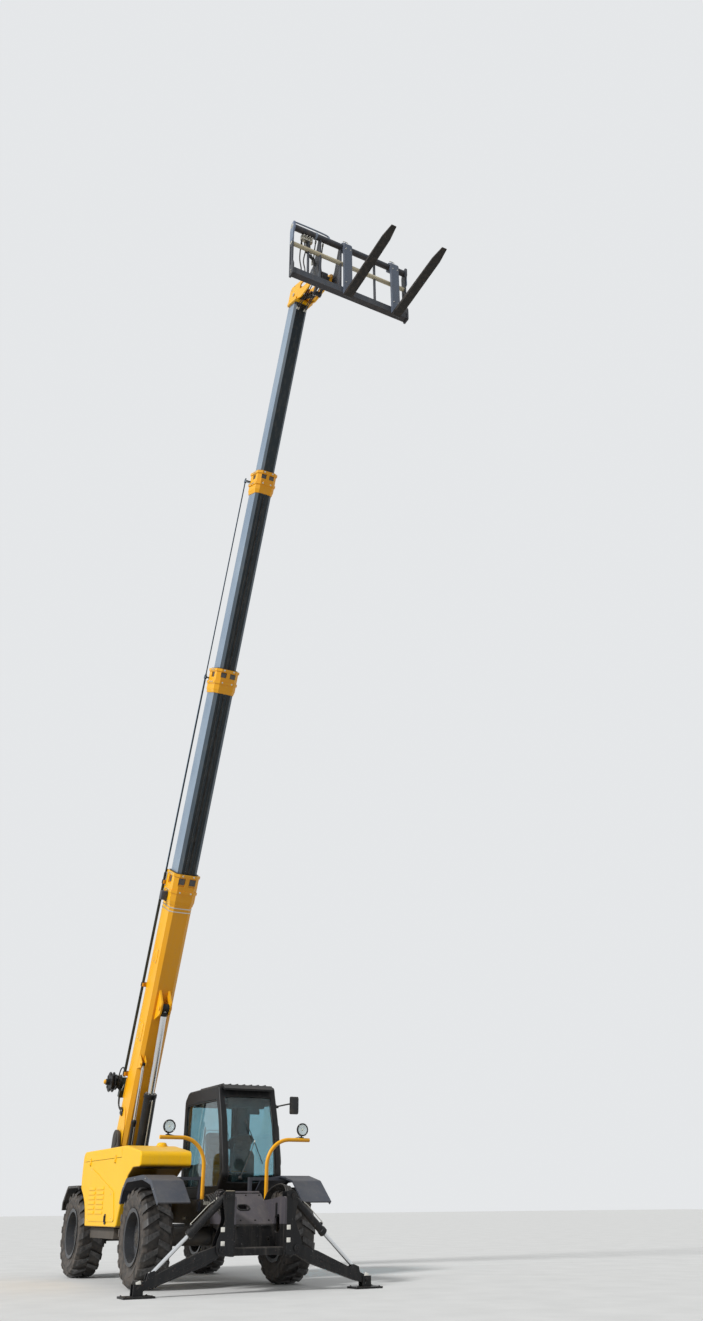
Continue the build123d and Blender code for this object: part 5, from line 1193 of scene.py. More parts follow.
def make_head():
    """Pin caps, bolts, the neck pin's keepers and the hoses that come down through the neck."""
    pins, bolts, keepers = [], [], []
    for out in (-1, 1):
        way = (0, out, 0)
        pins.append((on_boom(HEAD_AT - 0.06, -0.06, out * (HEAD_SIDE + 0.0095)), way, 0.034))
        for along, above in ((-0.17, 0.10), (-0.17, -0.08), (-0.17, -0.20), (0.08, 0.10), (0.12, -0.02)):
            bolts.append((on_boom(HEAD_AT + along, above, out * HEAD_SIDE), way, 0.022))
        keepers.append(
            plate((0.15, 0.045, 0.008, 0.015), on_boom(HEAD_AT, -1.0, out * (HEAD_SIDE + 0.012)), way, ALONG)
        )
    set_points("head_pin_caps", "boom_4", pins, 2, shape=CAP)
    set_points("head_bolts", "boom_4", bolts, 9)
    build("neck_pin_keepers", "yellow_enamel", "boom_4", keepers, 0.002)
    runs = []
    for k, out in enumerate((-0.085, -0.055, 0.055, 0.085)):
        runs.append(boom_path(
            (HEAD_AT - 0.33, -0.20, out), (HEAD_AT - 0.28, -0.25 - 0.01 * k, out),
            (HEAD_AT - 0.22, -0.36, out), (HEAD_AT - 0.15, -0.55, out), (HEAD_AT - 0.06, -0.72, out * 1.1),
            (HEAD_AT + 0.015, -0.84, out),
        ))
    hoses("neck_hoses", "boom_4", 0.009, runs)


FORK_PLACES = (0.095, 1.040)
PIVOT_PLATE_OUT = 0.2119


def on_carriage(back, y, below_bar):
    """A place by how far it stands behind the carriage's face and below its fork bar."""
    return Vector((CARRIAGE_FACE - back, y, CARRIAGE_BAR - below_bar))


def make_carriage():
    """Bar and rail caps, bolts, end covers, latches, pipes and stops."""
    right_end, left_end = CARRIAGE_SIDES
    caps, bolts, covers = [], [], []
    for y, out in ((right_end, -1), (left_end, 1)):
        way = (0, out, 0)
        caps.append((on_carriage(0.045, y, 0), way, 0.048))
        caps.append((on_carriage(0.07, y, 0.38), way, 0.034))
        for rise in (0.14, 0.19):
            bolts.append(((CARRIAGE_FACE - 0.06, y, CARRIAGE_HEEL + rise), way, 0.020))
        covers.append(plate((0.13, 0.32, 0.004, 0.02), on_carriage(0.055, y + out * 0.002, 0.17), way, AHEAD))
    set_points("carriage_bar_caps", "carriage", caps, 6, shape=CAP)
    for y in FORK_PLACES:
        for z in (CARRIAGE_HEEL + 0.30, CARRIAGE_BAR - 0.12):
            for beside in (-0.045, 0.045):
                bolts.append(((CARRIAGE_FACE + 0.06, y + beside, z), AHEAD, 0.018))
    for out in (-1, 1):
        for c, s in clock(4, 0.5):
            bolts.append(
                (TILT_PIN + Vector((0.056 * c, out * PIVOT_PLATE_OUT, 0.056 * s)), (0, out, 0), 0.016)
            )
    set_points("carriage_bolts", "carriage", bolts, 6)
    build("carriage_end_covers", "slate_enamel", "carriage", covers, 0.0015)
    make_fork_latches()
    make_carriage_pipes(right_end)
    ring = [(0.056, -0.02), (0.063, -0.02), (0.063, 0.02), (0.056, 0.02), (0.056, -0.02)]
    stops = [
        turned(ring, on_carriage(0.045, y, 0), LEFT)
        for y in (right_end + 0.45, left_end - 0.75, left_end - 0.30)
    ]
    build("carriage_bar_stops", "slate_enamel", "carriage", stops, 0.0015)


def make_fork_latches():
    """A sprung pin with its pull grip over each fork."""
    pin = [(0, 0), (0.016, 0), (0.016, 0.05), (0.009, 0.054), (0.009, 0.09), (0, 0.09)]
    latches, grips = [], []
    for y in FORK_PLACES:
        latches.append(turned(pin, on_carriage(0.045, y, -0.086), UP, 14))
        latches.append(plate((0.05, 0.17, 0.012, 0.01), on_carriage(0.045, y, -0.090), UP, AHEAD))
        grips.append(
            [on_carriage(0.045, y + b, -rise) for b, rise in ((-0.035, 0.172), (0, 0.178), (0.035, 0.172))]
        )
    build("fork_latches", "slate_enamel", "carriage", latches, 0.002)
    hoses("fork_latch_grips", "carriage", 0.007, grips, "zinc_plate", 1.2)


def make_carriage_pipes(right_end):
    """Guard rail, coupler block and hoses at the carriage's right end, and the risers behind its rub rail."""
    rail = (
        (0.06, 0.03, 0.10), (0.06, 0.05, 0.15), (0.06, 0.20, 0.16), (0.06, 0.55, 0.16), (0.06, 0.70, 0.14),
        (0.05, 0.73, 0.05),
    )
    rail = [on_carriage(back, right_end + y, -rise) for back, y, rise in rail]
    hoses("carriage_hose_rail", "carriage", 0.014, [rail], "slate_enamel", 1.3)
    block = [plate((0.07, 0.22, 0.09, 0.012), on_carriage(0.10, right_end + 0.30, 0.11), UP, AHEAD)]
    socket = [(0, 0), (0.015, 0), (0.015, 0.03), (0.011, 0.034), (0.011, 0.06), (0, 0.06)]
    lanes = [right_end + 0.22 + 0.052 * k for k in range(4)]
    block += [turned(socket, on_carriage(0.066, y, 0.11), (1, 0, -0.2), 12) for y in lanes]
    build("carriage_coupler_block", "zinc_plate", "carriage", block, 0.002)
    runs = []
    for k, y in enumerate(lanes):
        runs.append([
            on_carriage(0.12, y, 0.15), on_carriage(0.13, y + 0.02, 0.27 + 0.03 * k),
            on_carriage(0.13, y + 0.12, 0.42 + 0.05 * k),
            on_carriage(0.13, min(y + 0.20, -0.47), 0.50 + 0.04 * k),
            on_carriage(0.15, -0.462, 0.44 + 0.03 * k),
            Vector((TILT_PIN.x + 0.10, -0.450, TILT_PIN.z + 0.08 + 0.022 * k)),
        ])
    hoses("carriage_hoses", "carriage", 0.010, runs)
    beam = CARRIAGE_BAR - CARRIAGE_HEEL - 0.235
    risers = []
    for k, lane in enumerate((0.20, 0.27, 0.46, 0.54, 0.60)):
        y = right_end + lane
        risers.append([
            on_carriage(0.085, y, beam), on_carriage(0.10, y + 0.01, beam - 0.15),
            on_carriage(0.10, y - 0.02, beam - 0.36), on_carriage(0.12, y + 0.03 * (k % 2), 0.33),
            on_carriage(0.11, y + 0.02, 0.06),
        ])
    hoses("carriage_risers", "carriage", 0.011, risers)
    half = (CARRIAGE_SIDES[1] - CARRIAGE_SIDES[0]) / 2 - 0.029
    sleeve = [(0.0362, -half), (0.0378, -half), (0.0378, half), (0.0362, half), (0.0362, -half)]
    middle = on_carriage(0.07, sum(CARRIAGE_SIDES) / 2, 0.38)
    build("carriage_rail_sleeve", "bleached_enamel", "carriage", [turned(sleeve, middle, LEFT, 28)], 0.0, 40)


# ------------------------------------------------------------------ cylinders
# Name, barrel's body, where its tube starts, how long it is, its radius and the rod's radius.
BARRELS = (
    ("lift", "lift_barrel", 0.117, 1.70, 0.100, 0.050),
    ("comp", "comp_barrel", 0.076, 0.90, 0.038, 0.020),
    ("tilt", "tilt_barrel", 0.087, 0.62, 0.048, 0.025),
    ("stabiliser_right", "stabiliser_barrel_right", 0.08, 0.63, 0.048, 0.024),
    ("stabiliser_left", "stabiliser_barrel_left", 0.08, 0.63, 0.048, 0.024),
)
# Name, sleeve radius, eye radius, half the eye's width and how far the sleeve reaches down the rod.
ROD_EYES = (
    ("lift", 0.0555, 0.0705, 0.0542, 0.13), ("comp", 0.0205, 0.0284, 0.0242, 0.0),
    ("tilt", 0.0262, 0.0384, 0.0322, 0.0),
)


def make_barrel(name, body, start, length, radius, rod):
    """Gland nut, foot collar, ports, hard pipe and gland bolts of one barrel."""
    foot = Vector(JOINT[f"{name}_barrel_swing"]["pos_m"])
    way = Vector(JOINT[f"{name}_rod_slide"]["axis"]).normalized()
    sideways = "stabiliser" in name
    across = Vector(AHEAD if sideways else LEFT)
    side = way.cross(across).normalized()
    if (side.z if sideways else side.x) < 0:
        side = -side
    where = aim(foot, way, across)
    gland = [
        (rod + 0.002, length + 0.010), (rod + 0.010, length + 0.012), (radius * 0.93, length + 0.006),
        (radius + 0.007, length - 0.004), (radius + 0.007, length - 0.055), (radius + 0.001, length - 0.060),
        (radius - 0.002, length - 0.060), (radius - 0.002, length - 0.002), (rod + 0.002, length - 0.002),
        (rod + 0.002, length + 0.010),
    ]
    collar = [
        (radius - 0.002, start + 0.01), (radius + 0.006, start + 0.012), (radius + 0.006, start + 0.05),
        (radius - 0.002, start + 0.055), (radius - 0.002, start + 0.01),
    ]
    build(
        f"{name}_gland", "black_enamel", body, [(lathe(gland, 32), where), (lathe(collar, 32), where)], 0.001,
    )
    port = radius * 0.30 + 0.006
    boss = [(0, 0), (port, 0), (port, port * 0.9), (port * 0.8, port * 1.1), (0, port * 1.1)]
    low, high = [foot + way * reach + side * (radius - 0.004) for reach in (start + 0.09, length - 0.10)]
    build(
        f"{name}_ports", "black_enamel", body, [turned(boss, place, side, 14) for place in (low, high)],
        0.001,
    )
    top = side * (port * 1.6)
    pipe = [
        high + side * port, high + top, high + top - way * 0.05, low + top + way * 0.30 * length,
        low + top + way * 0.06, low + side * port,
    ]
    hoses(f"{name}_hard_pipe", body, max(0.005, radius * 0.09), [pipe], "zinc_plate")
    face, circle = foot + way * (length + 0.006), radius * 0.78
    bolts = [(face + (across * c + side * s) * circle, way, radius * 0.20) for c, s in clock(8)]
    set_points(f"{name}_gland_bolts", body, bolts, 3)


def make_rod_eye(name, sleeve, radius, half, reach):
    """Dark eye, and a sleeve where there is room for one, on the end of a bright rod."""
    body = f"{name}_rod"
    way = Vector(JOINT[f"{name}_rod_slide"]["axis"]).normalized()
    foot = Vector(JOINT[f"{name}_barrel_swing"]["pos_m"])
    low, high = [Vector(corner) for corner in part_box(body)]
    inset = radius - 0.0004
    eye = Vector((
        (high.x if way.x > 0 else low.x) - math.copysign(inset, way.x), foot.y,
        (high.z if way.z > 0 else low.z) - math.copysign(inset, way.z),
    ))
    shells = [peg(radius, -half, half, eye, LEFT, 32)]
    if reach:
        rod, neck = sleeve - 0.005, -radius * 0.8
        cone = [(rod, -reach), (sleeve, -reach + 0.004), (sleeve + 0.004, neck), (rod, neck), (rod, -reach)]
        shells.append(turned(cone, eye, way, 28))
    build(f"{name}_rod_eye", "black_enamel", body, shells, 0.001)


def make_cylinders():
    """Fittings on every barrel, and dark eyes on the three boom rods."""
    for barrel in BARRELS:
        make_barrel(*barrel)
    for eye in ROD_EYES:
        make_rod_eye(*eye)


# ------------------------------------------------------------------ cab
CAB_FRONT, CAB_REAR, CAB_RIGHT, CAB_LEFT, CAB_TOP = -0.787, -2.250, 0.223, 1.153, 2.560
CAB_MID = (CAB_RIGHT + CAB_LEFT) / 2
SILL, GLASS_TOP = 1.19, CAB_TOP - 0.20
PANE_EDGE = 0.097
# Heights down the front, and how far the skin stands ahead of the cab's front line at each.
FRONT_LINE = (
    (2.45, 0.010), (2.06, 0.150), (1.80, 0.205), (1.58, 0.258), (1.40, 0.290), (1.33, 0.296), (1.27, 0.262),
    (1.18, 0.190), (1.02, 0.090),
)
# Outlines as (ahead, height) pairs: the right window, the door's glass and the gap round the door.
RIGHT_WINDOW = (
    (CAB_REAR + 0.105, SILL + 0.05), (CAB_REAR + 0.10, 1.6), (CAB_REAR + 0.10, GLASS_TOP - 0.12),
    (CAB_REAR + 0.135, GLASS_TOP - 0.03), (CAB_REAR + 0.22, GLASS_TOP - 0.008),
    (CAB_FRONT - 0.50, GLASS_TOP - 0.008), (CAB_FRONT - 0.10, GLASS_TOP - 0.012),
    (CAB_FRONT - 0.045, GLASS_TOP - 0.05), (CAB_FRONT + 0.055, 2.04), (CAB_FRONT + 0.15, 1.60),
    (CAB_FRONT + 0.182, 1.40), (CAB_FRONT + 0.175, 1.33), (CAB_FRONT + 0.105, 1.21),
    (CAB_FRONT + 0.06, SILL + 0.004), (CAB_FRONT - 0.7, SILL + 0.004), (CAB_REAR + 0.15, SILL + 0.006),
)
DOOR_GLASS = (
    (CAB_REAR + 0.505, 1.40), (CAB_REAR + 0.502, 1.8), (CAB_REAR + 0.505, 2.26), (CAB_REAR + 0.56, 2.308),
    (CAB_FRONT - 0.5, 2.31), (CAB_FRONT - 0.15, 2.306), (CAB_FRONT - 0.10, 2.27), (CAB_FRONT + 0.005, 2.01),
    (CAB_FRONT + 0.09, 1.60), (CAB_FRONT + 0.108, 1.38), (CAB_FRONT + 0.07, 1.342), (CAB_FRONT - 0.4, 1.340),
    (CAB_REAR + 0.56, 1.343),
)
DOOR_GAP = (
    (CAB_REAR + 0.417, 1.085), (CAB_REAR + 0.417, 2.405), (CAB_FRONT - 0.10, 2.412),
    (CAB_FRONT - 0.066, 2.40), (CAB_FRONT + 0.083, 2.04), (CAB_FRONT + 0.183, 1.57),
    (CAB_FRONT + 0.203, 1.36), (CAB_FRONT + 0.104, 1.20), (CAB_FRONT + 0.004, 1.083),
    (CAB_FRONT - 0.7, 1.078),
)
# The rear window as (to the left, height) pairs.
REAR_WINDOW = (
    (CAB_RIGHT + 0.12, 1.55), (CAB_RIGHT + 0.12, 2.30), (CAB_RIGHT + 0.16, 2.355), (CAB_MID, 2.36),
    (CAB_LEFT - 0.16, 2.355), (CAB_LEFT - 0.12, 2.30), (CAB_LEFT - 0.12, 1.55), (CAB_LEFT - 0.16, 1.512),
    (CAB_MID, 1.51), (CAB_RIGHT + 0.16, 1.512),
)


def windscreen(z):
    """How far ahead the cab's front skin stands at a height."""
    for (z1, x1), (z0, x0) in zip(FRONT_LINE, FRONT_LINE[1:]):
        if z >= z0:
            return CAB_FRONT + x0 + (x1 - x0) * (z - z0) / (z1 - z0)
    return CAB_FRONT + FRONT_LINE[-1][1]


def make_cab():
    """Rubber profiles round the panes and the door, then what stands outside and inside."""
    heights = (1.245, 1.33, 1.45, 1.58, 1.80, 2.06, 2.25, 2.395)
    front = [at(windscreen(z) - 0.016, CAB_RIGHT + PANE_EDGE, z) for z in heights]
    front += [at(windscreen(z) - 0.016, CAB_LEFT - PANE_EDGE, z) for z in reversed(heights)]
    side = [at(x, CAB_RIGHT + 0.012, z) for x, z in RIGHT_WINDOW]
    rear = [at(CAB_REAR + 0.012, y, z) for y, z in REAR_WINDOW]
    seals = [run + run[:2] for run in (front, side, rear)]
    hoses("cab_glass_seals", "chassis", 0.010, seals, "seal_rubber", 1.0, 6, 8)
    door = [at(x, CAB_LEFT - 0.012, z) for x, z in DOOR_GLASS]
    hoses("door_glass_seal", "cab_door", 0.009, [door + door[:2]], "seal_rubber", 1.0, 6, 8)
    gap = [at(x, CAB_LEFT - 0.020, z) for x, z in DOOR_GAP]
    hoses("door_gap_seal", "chassis", 0.004, [gap + gap[:1]], "seal_rubber", 1.0, 4, 6)
    make_cab_outside()
    make_wiper()
    make_cab_inside()
    make_controls()


def make_cab_outside():
    """Grab rails, door handle, roof bolts and the vent below the rear window."""
    rail_y = CAB_LEFT + 0.036
    rail = path(
        (CAB_FRONT + 0.045, CAB_LEFT, 2.02), (CAB_FRONT + 0.050, rail_y, 2.00),
        (CAB_FRONT + 0.095, rail_y, 1.80), (CAB_FRONT + 0.165, rail_y, 1.50),
        (CAB_FRONT + 0.170, CAB_LEFT, 1.47),
    )
    hoses("cab_grab_rail", "chassis", 0.012, [rail], "black_moulding")
    rail_x = CAB_REAR + 0.30
    rail = path(
        (rail_x, CAB_LEFT, 2.05), (rail_x, rail_y, 2.03), (rail_x, rail_y, 1.65), (rail_x, CAB_LEFT, 1.63),
    )
    hoses("rear_grab_rail", "chassis", 0.012, [rail], "black_moulding")
    build("door_handle", "black_moulding", "cab_door", [
        plate((0.16, 0.055, 0.014, 0.015), at(CAB_FRONT - 0.02, CAB_LEFT + 0.006, 1.28), LEFT, AHEAD),
        plate((0.12, 0.026, 0.016, 0.008), at(CAB_FRONT - 0.03, CAB_LEFT + 0.028, 1.285), LEFT, AHEAD),
        peg(0.012, 0, 0.02, at(CAB_FRONT + 0.035, CAB_LEFT + 0.010, 1.28), LEFT, 14),
    ], 0.003)
    studs = []
    for x in (CAB_REAR + 0.395, CAB_FRONT - 0.125):
        for y in (CAB_RIGHT + 0.115, CAB_MID, CAB_LEFT - 0.115):
            studs.append((at(x, y, CAB_TOP + 0.014), UP, 0.016))
    set_points("cab_studs", "chassis", studs, 12, "black_enamel")
    places = [at(CAB_REAR - 0.004, CAB_MID, 1.14 + 0.028 * k) for k in range(9)]
    slats = [plate((0.30, 0.012, 0.006), place, (-0.9, 0, -0.5), LEFT) for place in places]
    build("cab_rear_vent", "black_moulding", "chassis", slats, 0.001)


def make_wiper():
    """Wiper arm, blade and pivot on the windscreen."""
    base = at(windscreen(1.30) + 0.004, CAB_MID - 0.18, 1.30)
    tip = at(windscreen(1.78) + 0.016, CAB_MID + 0.05, 1.78)
    knee = at(windscreen(1.52) + 0.030, CAB_MID - 0.08, 1.52)
    arm = [base, base + Vector((0.022, 0.01, 0.04)), knee, tip]
    hoses("wiper_arm", "chassis", 0.006, [arm], "black_moulding", 1.4)
    spots = ((1.50, 0.16), (1.60, 0.12), (1.72, 0.075), (1.84, 0.025), (1.96, -0.03), (2.06, -0.08))
    blade = [at(windscreen(z) + 0.006, CAB_MID + beside, z) for z, beside in spots]
    hoses("wiper_blade", "chassis", 0.0065, [blade], "seal_rubber", 1.1, 4, 6)
    boss = [
        (0, 0.034), (0.012, 0.034), (0.018, 0.026), (0.026, 0.006), (0.030, 0), (0.030, -0.01), (0, -0.01),
    ]
    build("wiper_pivot", "black_moulding", "chassis", [turned(boss, base, (1, 0, -0.1), 20)])


def make_cab_inside():
    """Floor mat, head lining, rear panel, sun visor, mirror and seat belt."""
    build("cab_lining", "grey_moulding", "chassis", [
        plate((1.05, 0.66, 0.02, 0.05), at(-1.56, CAB_MID, 1.085), UP, AHEAD),
        plate((0.24, 0.62, 0.025, 0.04), at(-0.905, CAB_MID, 2.44), (0.25, 0, 1), AHEAD),
        plate((0.28, 0.70, 0.03, 0.05), at(-2.06, CAB_MID, 2.46), (-0.2, 0, 1), AHEAD),
        plate((0.70, 0.40, 0.02, 0.05), at(CAB_REAR + 0.075, CAB_MID, 1.28), AHEAD, LEFT),
    ], 0.006)
    visor = plate((0.17, 0.58, 0.008, 0.02), at(CAB_FRONT - 0.035, CAB_MID, 2.32), (0.9, 0, 0.35))
    build("sun_visor", "black_moulding", "chassis", [visor], 0.002)
    mirror = plate((0.08, 0.20, 0.016, 0.015), at(CAB_FRONT + 0.02, CAB_MID + 0.10, 2.20), (-1, 0, -0.2))
    build("inside_mirror", "black_moulding", "chassis", [mirror], 0.004)
    belt = path(
        (-1.97, CAB_MID - 0.20, 2.02), (-1.90, CAB_MID - 0.235, 1.80), (-1.86, CAB_MID - 0.262, 1.60),
        (-1.83, CAB_MID - 0.262, 1.44),
    )
    hoses("seat_belt_strap", "chassis", 0.012, [belt], "seal_rubber", 1.1, 6, 4)


def make_controls():
    """Side console with joystick and knobs, pedals, gauges and the steering wheel's grip."""
    console_y = CAB_RIGHT + 0.13
    console = [(-0.32, 0), (0.26, 0), (0.24, 0.34), (0.14, 0.40), (-0.10, 0.43), (-0.30, 0.40)]
    upright = Matrix(((1, 0, 0, 0), (0, 0, 1, 0), (0, 1, 0, 0), (0, 0, 0, 1)))
    where = Matrix.Translation(at(-1.62, console_y, 1.09)) @ upright
    build("side_console", "black_moulding", "chassis", [(prism(console, -0.06, 0.06), where)], 0.015)
    stick = [
        (0, 0.0), (0.045, 0.0), (0.040, 0.018), (0.034, 0.022), (0.034, 0.032), (0.026, 0.038),
        (0.024, 0.050), (0.012, 0.058), (0.010, 0.13), (0.020, 0.15), (0.026, 0.20), (0.020, 0.245),
        (0, 0.25),
    ]
    stick = turned(stick, at(-1.47, console_y, 1.50), (0.1, 0, 1), 20)
    build("joystick", "seal_rubber", "chassis", [stick], 0.0, 50)
    knob = [
        (0, 0), (0.012, 0), (0.012, 0.01), (0.006, 0.014), (0.006, 0.05), (0.013, 0.058), (0.013, 0.075),
        (0, 0.08),
    ]
    places = [at(-1.60 - 0.06 * k, CAB_RIGHT + 0.11 + 0.02 * (k % 2), 1.515) for k in range(4)]
    build("console_knobs", "grey_moulding", "chassis", [turned(knob, place, UP, 14) for place in places])
    sides = (CAB_MID - 0.22, CAB_MID + 0.22)
    pedals = [
        plate((0.13, 0.085, 0.014, 0.02), at(-1.06, y, 1.17), (-0.7, 0, 0.7), (0.7, 0, 0.7))
        for y in sides
    ]
    pedals += [plate((0.02, 0.02, 0.14), at(-1.01, y, 1.12), (-0.4, 0, 1)) for y in sides]
    build("pedals", "black_moulding", "chassis", pedals, 0.003)
    to_driver = (-0.8, 0, 0.55)
    panel = [plate((0.26, 0.16, 0.03, 0.02), at(-0.925, CAB_MID, 1.70), to_driver, LEFT)]
    gauge = [(0, 0.006), (0.026, 0.006), (0.030, 0), (0.030, -0.004), (0, -0.004)]
    for beside in (-0.08, 0, 0.08):
        panel.append(turned(gauge, at(-0.945, CAB_MID + beside, 1.712), to_driver, 20))
    build("gauge_panel", "black_moulding", "chassis", panel, 0.002)
    # The ring's last point lies a hair off its first, so the lathe closes the wheel's face with a disc.
    angles = [math.tau * k / 10 for k in range(11)]
    ring = [(0.185 + 0.0185 * math.cos(angle), 0.0185 * math.sin(angle)) for angle in angles]
    grip = turned(ring, at(-1.0, CAB_MID, 1.79), (-0.5, 0, 0.87), 40)
    build("steering_wheel_grip", "seal_rubber", "chassis", [grip], 0.0, 60)


# ------------------------------------------------------------------ seat
# Name, place, facing, top direction and size of each pad.
PADS = (
    ("seat_cushion", (-1.685, 1.392), UP, AHEAD, (0.46, 0.45, 0.085)),
    ("seat_backrest", (-1.982, 1.742), (0.990, 0, 0.140), (-0.140, 0, 0.990), (0.53, 0.41, 0.070)),
)
SETTLE_FRAMES = 20


def rounded_square(count):
    """Points round a square with rounded corners, 1 from middle to side, each with its share of side pull."""
    points = []
    for c, s in clock(count):
        reach = (abs(c) ** 6 + abs(s) ** 6) ** (-1 / 6)
        points.append((c * reach, s * reach, 1 - abs(c * c - s * s)))
    return points


def pad_form(length, width, height, bow):
    """A cushion before it is stuffed: rounded plan, sides that pull in, and a crowned top."""
    points, faces = [], []
    count, layers = 40, 7
    for layer in range(layers):
        v = 2 * layer / (layers - 1) - 1
        shrink = 1 - 0.10 * v * v - 0.03
        for x, y, share in rounded_square(count):
            pull = shrink * (1 - bow * share)
            points.append((length / 2 * x * pull, width / 2 * y * pull, height / 2 * v * 0.86))
    points += [(0, 0, -height / 2 * 0.9), (0, 0, height / 2)]
    low, high = len(points) - 2, len(points) - 1
    for layer in range(layers - 1):
        for k in range(count):
            n = (k + 1) % count
            faces.append(
                [layer * count + k, layer * count + n, (layer + 1) * count + n, (layer + 1) * count + k]
            )
    for k in range(count):
        n = (k + 1) % count
        faces += [[n, k, low], [(layers - 1) * count + k, (layers - 1) * count + n, high]]
    return points, faces


def stuff(piece, cap, voxel=6 * MM, pressure=4.0):
    """Let the cover swell over its foam as cloth, each point kept within a cap of where it began."""
    remesh = piece.modifiers.new("even_mesh", "REMESH")
    remesh.mode = "VOXEL"
    remesh.voxel_size = voxel
    graph = bpy.context.evaluated_depsgraph_get()
    even = bpy.data.meshes.new_from_object(piece.evaluated_get(graph), depsgraph=graph)
    piece.modifiers.remove(remesh)
    piece.data = even
    start = [v.co.copy() for v in even.vertices]
    cloth = piece.modifiers.new("cover", "CLOTH")
    cloth.settings.use_pressure = True
    cloth.settings.uniform_pressure_force = pressure
    cloth.settings.effector_weights.gravity = 0
    for step in range(1, SETTLE_FRAMES + 1):
        bpy.context.scene.frame_set(step)
    graph = bpy.context.evaluated_depsgraph_get()
    swollen = [v.co.copy() for v in piece.evaluated_get(graph).data.vertices]
    piece.modifiers.remove(cloth)
    bpy.context.scene.frame_set(1)
    for vertex, before, after in zip(even.vertices, start, swollen):
        move = after - before
        if move.length > cap:
            move *= cap / move.length
        vertex.co = before + move


def sew(piece, where, lines, depth, width):
    """Press sewn channels into the upper face: each line is an axis, its place and how far it reaches."""
    home = where.inverted()
    face = (where.to_3x3() @ Vector(UP)).normalized()
    for vertex in piece.data.vertices:
        local = home @ vertex.co
        if local.z < 0:
            continue
        sunk = 0.0
        for axis, spot, reach in lines:
            across, along = (local.x, local.y) if axis == "x" else (local.y, local.x)
            if abs(along) < reach:
                sunk = max(sunk, math.exp(-((across - spot) / width) ** 2))
        vertex.co -= face * (depth * sunk)


def make_seat():
    """Sprung seat: two stuffed pads with sewn channels and piping, in place of the plain solids."""
    low, high = [Vector(corner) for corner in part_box("seat")]
    for name, (x, z), way, top, size in PADS:
        where = aim(at(x, (low.y + high.y) / 2, z), way, top)
        pad = build(name, "seat_weave", "chassis", [(pad_form(*size, 0.04), where)], 0.0, 80)
        stuff(pad, 22 * MM)
        dress(pad, FINISHES["seat_weave"])
        long, wide, thick = size
        lines = [("y", out * wide * 0.31, long * 0.5) for out in (-1, 1)]
        lines += [("x", long * share, wide * 0.30) for share in (-0.28, -0.09, 0.10, 0.29)]
        sew(pad, where, lines, 12 * MM, 9 * MM)
        pad.data.shade_smooth()
        soft = pad.modifiers.new("soft", "SUBSURF")
        soft.levels = soft.render_levels = 1
        reach_x, reach_y = (long / 2 + 0.010) * 0.97, (wide / 2 + 0.010) * 0.97
        rim = [where @ Vector((reach_x * x, reach_y * y, thick * 0.30)) for x, y, _ in rounded_square(32)]
        hoses(f"{name}_piping", "chassis", 0.005, [rim + rim[:1]], "grey_moulding", 1.0, 3, 6)
    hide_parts("seat")


# ------------------------------------------------------------------ nose and stabilisers
COVER_TOP, COVER_RUN, COVER_DROP = (0.640, 1.120), 0.470, 0.400
SLOPE = math.atan2(COVER_DROP, COVER_RUN)
COVER_NORMAL = Vector((math.sin(SLOPE), 0, math.cos(SLOPE)))
REFLECTORS = ((-0.500, 0.685), (-0.495, 0.535), (0.385, 0.700), (0.385, 0.560))


def make_nose():
    """Hole in the cover with a black plate below it as painted shade, a pale strip as a painted highlight on
    the top edge, the cover's edge strip, bolts, hinges and reflectors.
    """
    where = aim(at(0.875, 0, 0.920), COVER_NORMAL, LEFT)
    ring = []
    for c, s in clock(24) + clock(24)[:1]:
        ring.append(where @ Vector(((0.033 if c > 0 else -0.033) + 0.047 * c, 0.047 * s, 0.002)))
    hoses("nose_hole_rim", "chassis", 0.011, [ring], "black_enamel", 1.0, 2, 8)
    # A black plate below the hole: painted shade, so that the hole reads dark.
    shade_plate = (slab(0.22, 0.14, 0.004, 0.04), where @ Matrix.Translation((0, 0, -0.045)))
    build("nose_hole_well", "black_enamel", "chassis", [shade_plate], 0.001)
    # A pale strip on the cover's top edge: a painted highlight, drawn as a worn plate.
    strip = plate((0.12, 0.018, 0.004), at(0.658, -0.10, 1.116), (0.4, 0, 1), LEFT)
    build("nose_top_strip", "bleached_enamel", "chassis", [strip], 0.001)
    edge = plate((0.62, 0.030, 0.006), at(0.668, 0, 1.103), COVER_NORMAL, LEFT)
    build("nose_cover_edge", "nose_enamel", "chassis", [edge], 0.0015)
    bolts = []
    for y in (-0.29, -0.10, 0.10, 0.29):
        for share in (0.14, 0.86):
            place = at(COVER_TOP[0] + COVER_RUN * share, y, COVER_TOP[1] - COVER_DROP * share)
            bolts.append((place + COVER_NORMAL * 0.001, COVER_NORMAL, 0.020))
        bolts.append((at(1.135, y, 0.60), (0.98, 0, 0.2), 0.020))
    set_points("nose_bolts", "chassis", bolts, 4, "black_enamel")
    hinges = [peg(0.013, -0.05, 0.05, at(1.122, y, 0.712), LEFT, 14) for y in (-0.2, 0.2)]
    build("nose_hinges", "black_enamel", "chassis", hinges, 0.001)
    squares = [plate((0.052, 0.052, 0.003, 0.004), at(1.4615, y, z), AHEAD) for y, z in REFLECTORS]
    build("blank_square_plates", "pale_reflector", "chassis", squares, 0.0008)
    make_nose_hoses()
    make_stabilisers()


